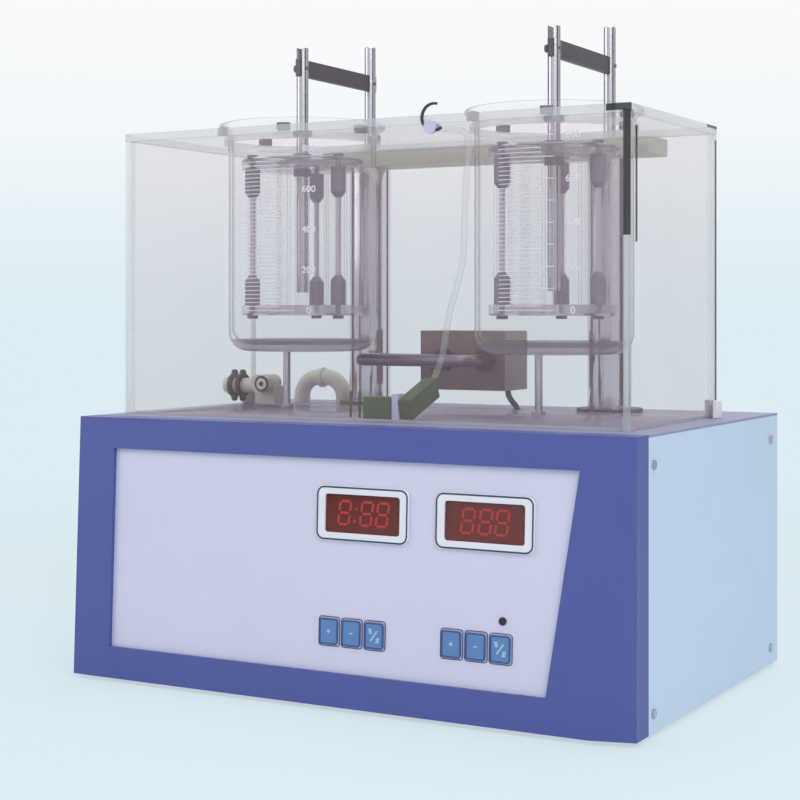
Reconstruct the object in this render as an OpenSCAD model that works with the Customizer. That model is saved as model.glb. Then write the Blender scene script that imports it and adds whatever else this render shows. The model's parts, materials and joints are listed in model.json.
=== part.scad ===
// Tablet disintegration tester with two beakers, water bath and lifting baskets.
// Millimetres, Z up, front faces -Y, origin at the middle of the footprint.

/* [Case] */
// overall width of the case
body_w = 420; // [400:1:460]
// depth of the case behind the front bezel's top edge
body_d = 280; // [265:1:330]
// height of the case without feet
body_h = 181; // [165:1:220]
// how far the bezel's lower edge stands forward of its upper edge
lean = 7.6; // [3:0.1:12]
// width of the side facet at the foot of the bezel
facet_w = 27.4; // [15:0.1:40]
// depth of the bezel's returns
bezel_ret = 19.5; // [15:0.1:26]
// sheet thickness of the case
sheet = 1.5; // [1:0.1:2]
// wall of the moulded bezel
bezel_t = 3; // [2:0.1:4]
// height of the rubber feet
foot_h = 3; // [2:0.5:8]
// how far the rear fittings stand out
rear_out = 3; // [2:0.1:6]

/* [Panel] */
// lower edge of the white panel above the case bottom
panel_lo = 21.7; // [15:0.1:30]
// height of the white panel
panel_h = 138; // [125:0.5:150]
// display frame width
frame_w = 68.5; // [60:0.5:76]
// display frame height
frame_h = 35.5; // [30:0.5:42]
// middle height of the displays above the case bottom
disp_s = 124.6; // [115:0.1:135]
// middle of the time display
time_x = 22.1; // [10:0.1:30]
// middle of the temperature display
temp_x = 109.9; // [102:0.1:115]
// key width
key_w = 13; // [9:0.5:14]
// key height
key_h = 16.2; // [14:0.1:24]
// pitch of the keys in a group
key_pitch = 17; // [16:0.1:20]
// middle height of the keys
key_s = 48; // [38:0.5:60]
// travel of a key
key_travel = 1; // [0.5:0.1:1.2]

/* [Water bath] */
// outside width of the tank
tank_w = 391.6; // [370:0.2:396]
// outside depth of the tank
tank_d = 161.6; // [150:0.2:168]
// top of the tank cover above the deck
tank_h = 203.3; // [190:0.1:215]
// wall of the tank
tank_t = 5; // [4:0.1:6]
// cover plate thickness
cover_t = 5.5; // [4:0.1:8]
// sideways offset of the tank and lift from the case middle
off_x = -5; // [-8:0.5:0]

/* [Beakers and baskets] */
// distance between the beaker middles
pitch = 205.2; // [180:0.2:215]
// beaker outside radius
beaker_r = 55; // [52.5:0.1:57.5]
// beaker wall
beaker_t = 2.5; // [2:0.1:3.5]
// beaker height
beaker_h = 168; // [160:0.5:172]
// height of the lugs that hold the beaker's rim above the cover
lug_h = 5.6; // [4:0.1:8]
// basket plate radius
plate_r = 45; // [44:0.1:46]
// basket plate thickness
plate_t = 6; // [4:0.1:6]
// clear tube outside radius
tube_r = 12.5; // [11.5:0.1:12.9]
// clear tube wall
tube_t = 2; // [1.5:0.1:2.5]
// radius of the circle the tubes stand on
tube_pcd = 29.5; // [29:0.1:31]
// height of the lower plate above the beaker's floor
basket_gap = 23; // [20:0.5:26]
// length of the tubes
tube_len = 113; // [100:0.5:116]

/* [Lift] */
// stroke of the baskets
stroke = 55; // [53:0.5:57]
// radius of the lifting and hanging rods
rod_r = 4.5; // [4:0.1:5]
// radius of the sleeve columns
col_r = 16.5; // [15:0.1:18]
// distance of the lifting rods behind the beakers
reach = 100.5; // [98:0.5:106]
// top of the hanging rods above the deck
hang_top = 270.9; // [262:0.1:275]
// top of the lifting rods above the deck
rod_top = 285.3; // [278:0.1:295]
// arm height
arm_h = 12.6; // [10:0.1:14]
// arm thickness
arm_t = 4; // [3:0.1:5]
// thickness of the slotted yoke
yoke_t = 16; // [14:0.5:20]
// roller radius
roller_r = 7; // [6:0.1:8]

/* [Heater] */
// heater tube radius
heat_r = 4.5; // [4:0.1:5]
// gap between the heater and the beakers above it
heat_gap = 2.5; // [1:0.1:6]

/* [Hidden] */

yo = (lean - rear_out) / 2;
front_y = yo - body_d / 2;
rear_y = yo + body_d / 2;
deck = foot_h + body_h;
tilt = atan(lean / body_h);
facet_a = atan(lean / facet_w);
case_y = front_y + bezel_ret + 0.1;
side_x = body_w / 2;
foot_x = side_x - 35;
foot_y = body_d / 2 - 35;
inlet_x = -side_x + 60;
switch_x = -side_x + 105;
screw_top = body_h - 18.3;
clr = 0.1;

bxs = [off_x - pitch / 2, off_x + pitch / 2];
beaker_y = yo - 8;
rod_y = beaker_y + reach;

tank_x = off_x - tank_w / 2;
tank_y = yo - 101;
tank_top = deck + tank_h;
tank_floor = 2;
tank_rear = tank_y + tank_d;

flare_h = 4;
rim_z = tank_top + lug_h + clr + flare_h;
beaker_z = rim_z - beaker_h;
beaker_lift = beaker_z - deck;
beaker_floor = 5;
rim_r = beaker_r + 7;
hole_r = beaker_r + 3.2;
lower_z = beaker_z + beaker_floor + basket_gap;
upper_z = lower_z + tube_len - plate_t;
disc_z = lower_z + tube_len;
post_a = [-134, -14, 106];
post_r = tube_pcd + 8.5;
tube_a = [-104, -44, 16, 76, 136, 196];

arm_z = deck + 249.7;
yoke_z = 72;
crank_r = stroke / 2;
crank_z = yoke_z + crank_r;
slot_h = roller_r + 6.4;
yoke_front = rod_y - yoke_t / 2;
disc_back = yoke_front - 2;
plate_back = disc_back - 8;
beam_z = deck + 188.5;
beam_h = 12.5;
beam_x0 = off_x - 136.4;
beam_x1 = off_x + 141.6;
col_in = 11;

heat_z = beaker_z - heat_gap - heat_r;
heat_xa = off_x + 17.5;
heat_xb = off_x - 16.6;
heat_ya = yo + 26;
heat_yb = yo + 41;
heat_xl = off_x - 67;
jbox_x = off_x - 39.5;
jbox_w = 71.3;
jbox_y = tank_rear + clr;
jbox_d = 38;
jbox_z = deck + 15;
jbox_h = 44.7;

drain_x = tank_x - 8.7;
drain_y = yo + 40;
drain_z = deck + 15.6;
drain_r = 6;
spigot_r = 6.4;
spigot_l = 5.8;
ret_y = yo + 104;
ret_x = tank_x + 41.8;
ret_r = 6.5;
ret_bend = 16;

hose_r = 2.1;
hose_y = tank_y + tank_t + 3.4;
hose_top = tank_top - cover_t - hose_r - 0.3;
clip_x = 51.3;
clip_z = tank_top - 8.3;
hose_pts = [[50.5, hose_y, hose_top], [50.8, hose_y + 3.1, hose_top], [53.4, yo - 83.5, hose_top],
    [57.4, yo - 76, hose_top], [60, yo - 69.5, hose_top - 1.2], [60.4, yo - 65, hose_top - 5.4],
    [59.4, yo - 62, hose_top - 11.5], [57.8, yo - 60.8, hose_top - 20], [55.9, yo - 60, deck + 158],
    [55, yo - 60, deck + 138], [54.4, yo - 60, deck + 120], [53.4, yo - 60, deck + 108],
    [50.6, yo - 60, deck + 96], [46.6, yo - 59.6, deck + 84], [42.6, yo - 58.6, deck + 72],
    [39.4, yo - 57, deck + 60], [36.4, yo - 55, deck + 49], [33, yo - 53, deck + 40],
    [29.6, yo - 51.5, deck + 33.5], [27.2, yo - 52.6, deck + 27.4], [26.9, yo - 55.4, deck + 24]];
wire_r = 2.2;
wire_pts = [[off_x + 23, jbox_y + 24, jbox_z - 0.2], [off_x + 23.2, jbox_y + 24.4, jbox_z - 4],
    [off_x + 25, jbox_y + 25.4, jbox_z - 8], [off_x + 28, jbox_y + 27, jbox_z - 12],
    [off_x + 30, jbox_y + 28, jbox_z - 17], [off_x + 30.2, jbox_y + 28, jbox_z - 24]];

sheet_blue = [0.77, 0.84, 0.92];
bezel_blue = [0.31, 0.36, 0.64];
deck_blue = [0.59, 0.61, 0.7];
steel = [0.75, 0.75, 0.77];
dark = [0.12, 0.12, 0.13];
glass = [0.85, 0.9, 0.92, 0.35];
pale_green = [0.7, 0.75, 0.7];
key_blue = [0.3, 0.5, 0.8];
pcb_green = [0.1, 0.4, 0.2];

function fy(z) = front_y - lean * (1 - (z - foot_h) / body_h);

module face() translate([0, front_y - lean, foot_h]) rotate([90 - tilt, 0, 0]) children();
module tube_y(r, l) rotate([-90, 0, 0]) cylinder(r = r, h = l);
module tube_x(r, l) rotate([0, 90, 0]) cylinder(r = r, h = l);

// rounded plate in the XY plane, made of exact arcs
module slab(w, h, t, r) {
    linear_extrude(t) {
        square([w - 2 * r, h], center = true);
        square([w, h - 2 * r], center = true);
        for (sx = [-1, 1], sy = [-1, 1]) translate([sx * (w / 2 - r), sy * (h / 2 - r)]) circle(r = r);
    }
}

// round cord swept through a list of points
module cord(pts, r) {
    n = 10;
    m = len(pts);
    function dirn(i) = let (a = pts[max(i - 1, 0)], b = pts[min(i + 1, m - 1)]) (b - a) / norm(b - a);
    function side(i) = let (c = cross(dirn(i), [0.2, 1, 0.1])) c / norm(c);
    vs = [for (i = [0 : m - 1]) let (d = dirn(i), s = side(i), u = cross(d, s))
        for (k = [0 : n - 1]) pts[i] + r * (cos(360 * k / n) * s + sin(360 * k / n) * u)];
    fs = concat([[for (k = [0 : n - 1]) k]],
        [for (i = [0 : m - 2], k = [0 : n - 1])
            [i * n + k, (i + 1) * n + k, (i + 1) * n + (k + 1) % n, i * n + (k + 1) % n]],
        [[for (k = [n - 1 : -1 : 0]) (m - 1) * n + k]]);
    polyhedron(points = vs, faces = fs, convexity = 6);
}

// ---- case ----
tray_x = side_x - sheet - clr;
module base_tray() color(steel) difference() {
    union() {
        translate([-tray_x, case_y, foot_h]) cube([2 * tray_x, body_d - bezel_ret - sheet - 0.3, 2]);
        for (x = [-tray_x, tray_x - sheet]) translate([x, case_y, foot_h])
            cube([sheet, body_d - bezel_ret - sheet - 0.3, 24]);
        translate([-tray_x, case_y, foot_h]) cube([2 * tray_x, sheet, 26]);
    }
    for (sx = [-1, 1], y = [front_y + 27, rear_y - 18]) translate([sx * tray_x - 3, y, foot_h + 12.2])
        tube_x(1.6, 6);
    for (sx = [-1, 1], sy = [-1, 1]) translate([sx * foot_x, yo + sy * foot_y, foot_h - 1])
        cylinder(r = 2.1, h = 4);
}

module case_wrap() color(sheet_blue) difference() {
    union() {
        for (x = [-side_x, side_x - sheet]) translate([x, case_y, foot_h])
            cube([sheet, rear_y - case_y, body_h - sheet - 0.05]);
        translate([-side_x, rear_y - sheet, foot_h]) cube([body_w, sheet, body_h - sheet - 0.05]);
    }
    for (sx = [-1, 1], y = [front_y + 27, rear_y - 18], z = [12.2, screw_top])
        translate([sx * side_x - 3, y, foot_h + z]) tube_x(1.6, 6);
    translate([inlet_x - 14.2, rear_y - 5, foot_h + 31.8]) cube([28.4, 10, 20.4]);
    translate([switch_x - 9.7, rear_y - 5, foot_h + 35.3]) cube([19.4, 10, 13.4]);
    for (k = [0 : 6]) translate([side_x - 120 + 12 * k, rear_y - 5, foot_h + 60]) cube([4, 10, 44]);
}

module deck_plate() color(deck_blue) difference() {
    union() {
        translate([-side_x, case_y, deck - sheet]) cube([body_w, rear_y - case_y, sheet]);
        for (x = [-tray_x, tray_x - sheet]) translate([x, case_y, deck - 27])
            cube([sheet, body_d - bezel_ret - sheet - 0.3, 27 - sheet / 2]);
        translate([-tray_x, case_y, deck - 26]) cube([2 * tray_x, sheet, 26 - sheet / 2]);
    }
    for (sx = [-1, 1], y = [front_y + 27, rear_y - 18]) translate([sx * tray_x - 3, y, foot_h + screw_top])
        tube_x(1.6, 6);
    for (x = bxs) translate([x, rod_y, deck - 5]) cylinder(r = 9.1, h = 10);
    translate([off_x + 30.2, jbox_y + 28, deck - 5]) cylinder(r = wire_r + 0.8, h = 10);
    for (sx = [-1, 1]) translate([ret_x + sx * 20, ret_y, deck - 5]) cylinder(r = ret_r + 0.1, h = 10);
}

module facet_cut(off) translate([side_x, front_y, 0]) rotate([0, 0, facet_a])
    translate([-150, -60, -5]) cube([190, 60 + off, deck + 20]);

// side view of the bezel, extruded across the width
module bezel_side(t, x0, w) translate([x0, 0, 0]) rotate([90, 0, 90]) linear_extrude(w)
    polygon([[fy(foot_h + t) + t, foot_h + t], [front_y + bezel_ret + (t > 0 ? 5 : 0), foot_h + t],
        [front_y + bezel_ret + (t > 0 ? 5 : 0), deck - t], [fy(deck - t) + t, deck - t]]);

module panel_shape(g) polygon([[-side_x + 30.8 - g, panel_lo - g], [side_x - 56.1 + g, panel_lo - g],
    [side_x - 36 + g, panel_lo + panel_h + g], [-side_x + 30.8 - g, panel_lo + panel_h + g]]);

module front_bezel() color(bezel_blue) difference() {
    union() {
        difference() {
            bezel_side(0, -side_x, body_w);
            facet_cut(0);
            difference() {
                bezel_side(bezel_t, -side_x + bezel_t, body_w - 2 * bezel_t);
                facet_cut(bezel_t);
            }
        }
        for (x = [-side_x + 20, side_x - 20], z = [foot_h + 13, deck - 13]) translate([x, fy(z) + bezel_t - 0.5, z])
            tube_y(4, front_y + bezel_ret - fy(z) - bezel_t + 0.5);
    }
    face() translate([0, 0, -20]) linear_extrude(30) panel_shape(0);
}

// ---- panel and keys ----
module at_panel(x, s, z) face() translate([x, s, z]) children();
key_xs = [time_x - 23.4, time_x - 23.4 + key_pitch, time_x - 23.4 + 2 * key_pitch,
    temp_x - 21.7, temp_x - 21.7 + key_pitch, temp_x - 21.7 + 2 * key_pitch];

module control_panel() color([0.9, 0.9, 0.95]) difference() {
    at_panel(0, 0, -5.05) linear_extrude(2) panel_shape(4);
    for (x = [time_x, temp_x]) at_panel(x, disp_s, -10) slab(57, 26, 20, 2);
    for (x = key_xs) at_panel(x, key_s, -10) slab(key_w + 0.2, key_h + 0.2, 20, 2.1);
    at_panel(temp_x + 13.3, key_s + 17.1, -10) cylinder(r = 2.55, h = 20);
}

module display_frames() color(steel) for (x = [time_x, temp_x]) difference() {
    at_panel(x, disp_s, -3.05) slab(frame_w, frame_h, 2, 5);
    at_panel(x, disp_s, -4) slab(55.6, 24.8, 5, 2);
}

module display_windows() color([0.45, 0.12, 0.1, 0.8]) for (x = [time_x, temp_x])
    at_panel(x, disp_s, -5.1) slab(56.8, 25.8, 2, 1.9);

module display_board() color(pcb_green) {
    at_panel(65, 88, -14.6) slab(184, 116, 1.6, 3);
    for (x = [time_x, temp_x]) at_panel(x, disp_s, -13.5) slab(54, 23.6, 8.1, 1);
    for (x = key_xs) at_panel(x, key_s, -13.5) slab(6, 6, 4.9 - key_travel, 0.5);
    for (x = [-22, 152], s = [36, 140]) at_panel(x, s, -13.5) cylinder(r = 2.6, h = 8.4);
}

module key(i) color(key_blue) {
    at_panel(key_xs[i], key_s, -6.9) slab(key_w, key_h, 5.2, 2);
    at_panel(key_xs[i], key_s, -6.9) slab(key_w + 2, key_h + 2, 1.75, 2);
}
module key_time_up() key(0);
module key_time_down() key(1);
module key_time_run() key(2);
module key_temp_up() key(3);
module key_temp_down() key(4);
module key_temp_run() key(5);

module indicator_led() color(dark) {
    at_panel(temp_x + 13.3, key_s + 17.1, -6.4) cylinder(r = 2.5, h = 4.2);
    at_panel(temp_x + 13.3, key_s + 17.1, -6.4) cylinder(r = 3.1, h = 1.3);
    at_panel(temp_x + 13.3, key_s + 17.1, -13) cylinder(r = 1, h = 7);
}

// ---- parts inside the case ----
module control_board() {
    translate([side_x - 140, yo - 70, foot_h + 2]) {
        color(pcb_green) translate([0, 0, 8]) cube([110, 90, 1.6]);
        color(dark) translate([10, 10, 9]) cube([22, 22, 12.6]);
        color(dark) translate([50, 15, 9]) cube([38, 14, 4.6]);
        color(dark) for (x = [20, 42, 64]) translate([x, 75, 9]) cylinder(r = 5, h = 16.6);
        color(steel) for (x = [5, 105], y = [5, 85]) translate([x, y, 0]) cylinder(r = 3, h = 8.5);
    }
}

module transformer() {
    color(dark) translate([-side_x + 40, yo - 60, foot_h + 2]) cube([60, 50, 4]);
    color([0.5, 0.5, 0.52]) translate([-side_x + 45, yo - 55, foot_h + 5.5]) cube([50, 40, 46.5]);
    color([0.7, 0.55, 0.3]) translate([-side_x + 55, yo - 62, foot_h + 14]) cube([30, 54, 30]);
}

module air_pump() color([0.35, 0.36, 0.4]) {
    translate([-side_x + 20, yo + 30, foot_h + 2]) cube([50, 40, 34]);
    translate([-side_x + 45, yo + 50, foot_h + 35.5]) cylinder(r = 14, h = 10.5);
    translate([-side_x + 45, yo + 62, foot_h + 28]) tube_y(3, 16);
}

module gear_motor() color([0.6, 0.6, 0.62]) {
    translate([off_x - 32, plate_back - 48, crank_z - 32]) cube([64, 45, 64]);
    translate([off_x, plate_back - 104, crank_z]) tube_y(27, 57);
    translate([off_x, plate_back - 5, crank_z]) tube_y(5, 14);
}

module motor_bracket() color(steel) difference() {
    union() {
        translate([off_x - 42, plate_back - 3, foot_h + 2]) cube([84, 3, crank_z + 38 - foot_h - 2]);
        translate([off_x - 42, plate_back - 62, foot_h + 2]) cube([84, 60, 3]);
        for (sx = [-1, 1]) translate([off_x + sx * 40.5 - 1.5, plate_back - 2, foot_h + 2])
            rotate([90, 0, 0]) linear_extrude(50) square([3, 40]);
    }
    translate([off_x, plate_back - 10, crank_z]) tube_y(6, 20);
}

module crank_disc() color(steel) {
    difference() {
        translate([off_x, disc_back - 6, crank_z]) tube_y(36, 6);
        translate([off_x, disc_back - 8, crank_z]) tube_y(5.06, 12);
    }
    translate([off_x, disc_back - 1, crank_z - crank_r]) tube_y(4, yoke_t + 4);
}

module crank_roller() color([0.85, 0.8, 0.6]) difference() {
    translate([off_x, yoke_front + 1, crank_z - crank_r]) tube_y(roller_r, yoke_t - 2);
    translate([off_x, yoke_front, crank_z - crank_r]) tube_y(4.06, yoke_t);
}

module lift_yoke() color([0.55, 0.56, 0.6]) difference() {
    union() {
        translate([bxs[0] - 13, yoke_front, yoke_z - 11]) cube([pitch + 26, yoke_t, 22]);
        translate([off_x - 48, yoke_front, yoke_z - 22]) cube([96, yoke_t, 44]);
    }
    translate([off_x - crank_r - roller_r - 2, yoke_front - 1, yoke_z - slot_h])
        cube([2 * (crank_r + roller_r + 2), yoke_t + 2, 2 * slot_h]);
    for (x = bxs) translate([x, rod_y, yoke_z - 7]) cylinder(r = rod_r + 0.02, h = 60);
}

// ---- lifting train ----
module lifting_rods() color(steel) for (x = bxs) difference() {
    union() {
        translate([x, rod_y, yoke_z - 7]) cylinder(r = rod_r, h = deck + rod_top - yoke_z + 6);
        translate([x, rod_y, deck + rod_top - 1]) cylinder(r1 = rod_r, r2 = rod_r - 1, h = 1);
    }
    translate([x - arm_t / 2 - 0.05, rod_y - 10, arm_z - 0.05]) cube([arm_t + 0.1, 20, arm_h + 0.1]);
    translate([x - 10, rod_y, arm_z + arm_h / 2]) tube_x(1.55, 20);
}

module guide_bushes() color([0.8, 0.68, 0.35]) for (x = bxs) {
    difference() {
        union() {
            translate([x, rod_y, deck - 24]) cylinder(r = 9, h = 44);
            translate([x, rod_y, deck - sheet - 3.5]) cylinder(r = 16, h = 3.5);
        }
        translate([x, rod_y, deck - 30]) cylinder(r = rod_r + 0.06, h = 60);
    }
    difference() {
        translate([x, rod_y, beam_z - 16]) cylinder(r = col_in - 0.02, h = 16);
        translate([x, rod_y, beam_z - 20]) cylinder(r = rod_r + 0.06, h = 30);
    }
}

module column(i) color([0.8, 0.8, 0.83]) difference() {
    translate([bxs[i], rod_y, deck]) cylinder(r = col_r, h = beam_z - deck);
    translate([bxs[i], rod_y, deck - 1]) cylinder(r = col_in, h = beam_z - deck + 2);
}
module column_left() column(0);
module column_right() column(1);

module column_flanges() color(dark) for (x = bxs) difference() {
    translate([x, rod_y, deck]) cylinder(r = col_r + 8, h = 3);
    translate([x, rod_y, deck - 1]) cylinder(r = col_r + 0.02, h = 5);
}

module tie_beam() color(pale_green) difference() {
    translate([(beam_x0 + beam_x1) / 2, rod_y, beam_z]) slab(beam_x1 - beam_x0, 38, beam_h, 3);
    for (x = bxs) translate([x, rod_y, beam_z - 1]) cylinder(r = rod_r + 1, h = 20);
}

module lift_arms() color([0.3, 0.3, 0.32]) for (x = bxs) difference() {
    translate([x - arm_t / 2, beaker_y - rod_r - 2, arm_z]) cube([arm_t, reach + 2 * rod_r + 4, arm_h]);
    for (y = [beaker_y, rod_y]) translate([x - 10, y, arm_z + arm_h / 2]) tube_x(1.55, 20);
}

module hex_nut(r, h, hole) difference() {
    cylinder(r = r, h = h, $fn = 6);
    translate([0, 0, -1]) cylinder(r = hole, h = h + 2);
}

module carriage_fasteners() color(steel) for (x = bxs) {
    for (y = [beaker_y, rod_y]) {
        translate([x - rod_r - 1.4, y, arm_z + arm_h / 2]) tube_x(1.5, 2 * rod_r + 2);
        translate([x - rod_r - 1.9, y, arm_z + arm_h / 2]) tube_x(2.8, 1.9);
    }
    translate([x, rod_y, yoke_z - 18]) cylinder(r = 8, h = 7, $fn = 6);
    translate([x, beaker_y, tank_top + 2]) difference() {
        cylinder(r = 7.3, h = 4);
        translate([0, 0, -1]) cylinder(r = rod_r + 0.02, h = 6);
    }
    translate([x, beaker_y, disc_z + 1]) hex_nut(7.5, 5, rod_r + 0.02);
    translate([x, beaker_y, upper_z - 5]) hex_nut(7.5, 5, rod_r + 0.02);
}

module hanger_rods() color(steel) for (x = bxs) difference() {
    translate([x, beaker_y, lower_z + 15.5]) cylinder(r = rod_r, h = deck + hang_top - lower_z - 15.5);
    translate([x - arm_t / 2 - 0.05, beaker_y - 10, arm_z - 0.05]) cube([arm_t + 0.1, 20, 60]);
    translate([x - 10, beaker_y, arm_z + arm_h / 2]) tube_x(1.55, 20);
}

// ---- baskets ----
module basket_disc(i, z, t, tube_hole, hub) translate([bxs[i], beaker_y, z]) difference() {
    cylinder(r = plate_r, h = t);
    for (a = tube_a) rotate([0, 0, a]) translate([tube_pcd, 0, -1]) cylinder(r = tube_hole, h = t + 2);
    for (a = post_a) rotate([0, 0, a]) translate([post_r, 0, -1]) cylinder(r = 2.1, h = t + 2);
    if (hub) translate([0, 0, -1]) cylinder(r = rod_r + 0.05, h = t + 2);
}

module top_discs() color(steel) for (i = [0, 1]) basket_disc(i, disc_z, 1, tube_r - tube_t + 0.5, true);
module upper_plates() color([0.9, 0.9, 0.92, 0.6]) for (i = [0, 1])
    basket_disc(i, upper_z, plate_t, tube_r + 0.1, true);
module lower_plates() color([0.9, 0.9, 0.92, 0.6]) for (i = [0, 1])
    basket_disc(i, lower_z, plate_t, tube_r + 0.1, false);

module glass_tubes(i) color(glass) translate([bxs[i], beaker_y, lower_z]) for (a = tube_a)
    rotate([0, 0, a]) translate([tube_pcd, 0, 0]) difference() {
        cylinder(r = tube_r, h = tube_len);
        translate([0, 0, -1]) cylinder(r = tube_r - tube_t, h = tube_len + 2);
    }
module tubes_left() glass_tubes(0);
module tubes_right() glass_tubes(1);

module tie_posts() color([0.5, 0.5, 0.55]) for (x = bxs) translate([x, beaker_y, 0]) for (a = post_a)
    rotate([0, 0, a]) translate([post_r, 0, 0]) {
        translate([0, 0, lower_z - 3.6]) cylinder(r = 2, h = tube_len + 7.6);
        translate([0, 0, lower_z - 4]) cylinder(r = 4, h = 2.4);
        translate([0, 0, lower_z + plate_t + 0.05]) cylinder(r = 5.6, h = 18);
        translate([0, 0, lower_z + plate_t + 18.05]) cylinder(r1 = 5.6, r2 = 2.6, h = 4);
        translate([0, 0, upper_z - 18.05]) cylinder(r = 5.6, h = 18);
        translate([0, 0, upper_z - 22.05]) cylinder(r1 = 2.6, r2 = 5.6, h = 4);
        translate([0, 0, disc_z + 1.05]) cylinder(r = 4, h = 3, $fn = 6);
    }

// thin sieve under each lower plate, woven from bars
module mesh_screens() color([0.6, 0.6, 0.62]) for (x = bxs) translate([x, beaker_y, lower_z - 1.55])
    difference() {
        cylinder(r = plate_r, h = 1.5);
        for (a = tube_a) rotate([0, 0, a]) translate([tube_pcd, 0, -1]) for (u = [-1, 0, 1], v = [-1, 0, 1])
            translate([u * 5.4 - 2.1, v * 5.4 - 2.1, 0]) cube([4.2, 4.2, 4]);
        for (a = post_a) rotate([0, 0, a]) translate([post_r, 0, -1]) cylinder(r = 2.1, h = 4);
    }

// ---- beakers and bath ----
module beaker(i) color(glass) translate([bxs[i], beaker_y, beaker_z]) rotate_extrude() difference() {
    union() {
        square([beaker_r - 14, 20]);
        translate([beaker_r - 14, 14]) circle(r = 14);
        translate([0, 14]) square([beaker_r, beaker_h - 33]);
        polygon([[0, beaker_h - 20], [beaker_r, beaker_h - 20], [beaker_r + 0.8, beaker_h - 10],
            [beaker_r + 4, beaker_h - 4], [rim_r, beaker_h - 3.4], [rim_r, beaker_h - 1],
            [rim_r - 1, beaker_h], [0, beaker_h]]);
    }
    translate([0, beaker_floor]) square([beaker_r - beaker_t - 12, 20]);
    translate([beaker_r - beaker_t - 12, beaker_floor + 12]) circle(r = 12);
    translate([0, beaker_floor + 12]) square([beaker_r - beaker_t, beaker_h - 37]);
    polygon([[0, beaker_h - 21], [beaker_r - beaker_t, beaker_h - 21], [beaker_r - 1.8, beaker_h - 9.4],
        [beaker_r + 2.8, beaker_h + 1], [0, beaker_h + 1]]);
}
module beaker_left() beaker(0);
module beaker_right() beaker(1);

module beaker_lugs() color([0.5, 0.5, 0.54]) for (x = bxs, a = [-127, -70, -15, 60, 150])
    translate([x, beaker_y, tank_top]) rotate([0, 0, a]) translate([rim_r - 2.4, -4.6, 0])
        cube([5.4, 9.2, lug_h]);

module tank() color(glass) difference() {
    translate([tank_x, tank_y, deck]) cube([tank_w, tank_d, tank_h - cover_t]);
    translate([tank_x + tank_t, tank_y + tank_t, deck + tank_floor])
        cube([tank_w - 2 * tank_t, tank_d - 2 * tank_t, tank_h]);
    for (x = [heat_xa, heat_xb]) translate([x, tank_rear - 10, heat_z]) tube_y(heat_r + 0.02, 20);
    translate([tank_x - 5, drain_y, drain_z]) tube_x(drain_r + 0.02, 20);
}

module tank_cover() color(glass) difference() {
    translate([tank_x, tank_y, tank_top - cover_t]) cube([tank_w, tank_d, cover_t]);
    for (x = bxs) translate([x, beaker_y, tank_top - 10]) cylinder(r = hole_r, h = 20);
}

module corner_blocks() color([0.95, 0.95, 0.95]) for (sx = [0, 1])
    translate([tank_x + sx * tank_w, tank_rear, deck]) difference() {
        translate([sx ? -9 : -3, -9, 0]) cube([12, 12, 12.5]);
        translate([sx ? -20.02 : -0.02, -20.02, -1]) cube([20.04, 20.04, 20]);
    }

module beaker_posts() for (i = [0, 1]) translate([bxs[i] - [23, 18][i], yo + 6, deck + tank_floor]) {
    color(steel) cylinder(r = 2.8, h = beaker_lift - tank_floor);
    color(dark) cylinder(r = 5, h = 2.4);
}

// ---- heater ----
module heater_tube() color(steel) {
    difference() {
        union() {
            for (x = [heat_xa, heat_xb]) translate([x, x == heat_xa ? heat_ya + 10 : heat_yb + 6, heat_z])
                tube_y(heat_r, tank_rear + 8 - (x == heat_xa ? heat_ya + 10 : heat_yb + 6));
            translate([heat_xl, heat_ya, heat_z]) tube_x(heat_r, heat_xa - 10 - heat_xl);
            translate([heat_xl, heat_yb, heat_z]) tube_x(heat_r, heat_xb - 6 - heat_xl);
            translate([heat_xa - 10, heat_ya + 10, heat_z]) rotate([0, 0, -90])
                rotate_extrude(angle = 90) translate([10, 0]) circle(r = heat_r);
            translate([heat_xb - 6, heat_yb + 6, heat_z]) rotate([0, 0, -90])
                rotate_extrude(angle = 90) translate([6, 0]) circle(r = heat_r);
            translate([heat_xl, (heat_ya + heat_yb) / 2, heat_z]) rotate([0, 0, 90])
                rotate_extrude(angle = 180) translate([(heat_yb - heat_ya) / 2, 0]) circle(r = heat_r);
        }
    }
}

module heater_nuts() color(dark) for (x = [heat_xa, heat_xb])
    translate([x, tank_rear - tank_t, heat_z]) rotate([90, 0, 0]) {
        hex_nut(9, 4, heat_r + 0.02);
        translate([0, 0, 4]) difference() {
            cylinder(r = 7, h = 2.4);
            translate([0, 0, -1]) cylinder(r = heat_r + 0.02, h = 5);
        }
    }

module junction_box() color([0.45, 0.46, 0.38]) difference() {
    translate([jbox_x, jbox_y, jbox_z]) cube([jbox_w, jbox_d, jbox_h]);
    translate([jbox_x + 2, jbox_y + 2, jbox_z + 2]) cube([jbox_w - 4, jbox_d, jbox_h - 4]);
    for (x = [heat_xa, heat_xb]) translate([x, jbox_y - 5, heat_z]) tube_y(heat_r + 0.05, 15);
}

module junction_lid() color(pale_green) {
    translate([jbox_x, jbox_y + jbox_d + 0.05, jbox_z]) cube([jbox_w, 2, jbox_h]);
    translate([jbox_x + 2.1, jbox_y + jbox_d - 2, jbox_z + 2.1]) cube([jbox_w - 4.2, 2.1, 1.5]);
}

module heater_cable() color(dark) cord(wire_pts, wire_r);

// ---- drain, pipe and air line ----
module drain_valve() color(pale_green) {
    difference() {
        union() {
            translate([drain_x, drain_y, drain_z]) tube_x(spigot_r, spigot_l);
            translate([drain_x + 1, drain_y, drain_z]) tube_x(drain_r, 39);
        }
        translate([drain_x - 2, drain_y, drain_z]) tube_x(drain_r - 1.2, 38);
    }
    translate([drain_x + 37.5, drain_y - 11, drain_z + 2]) tube_y(7.2, 22);
    translate([drain_x + 29.5, drain_y - 4, deck + tank_floor]) cube([18, 14, drain_z - deck - tank_floor]);
}

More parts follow.
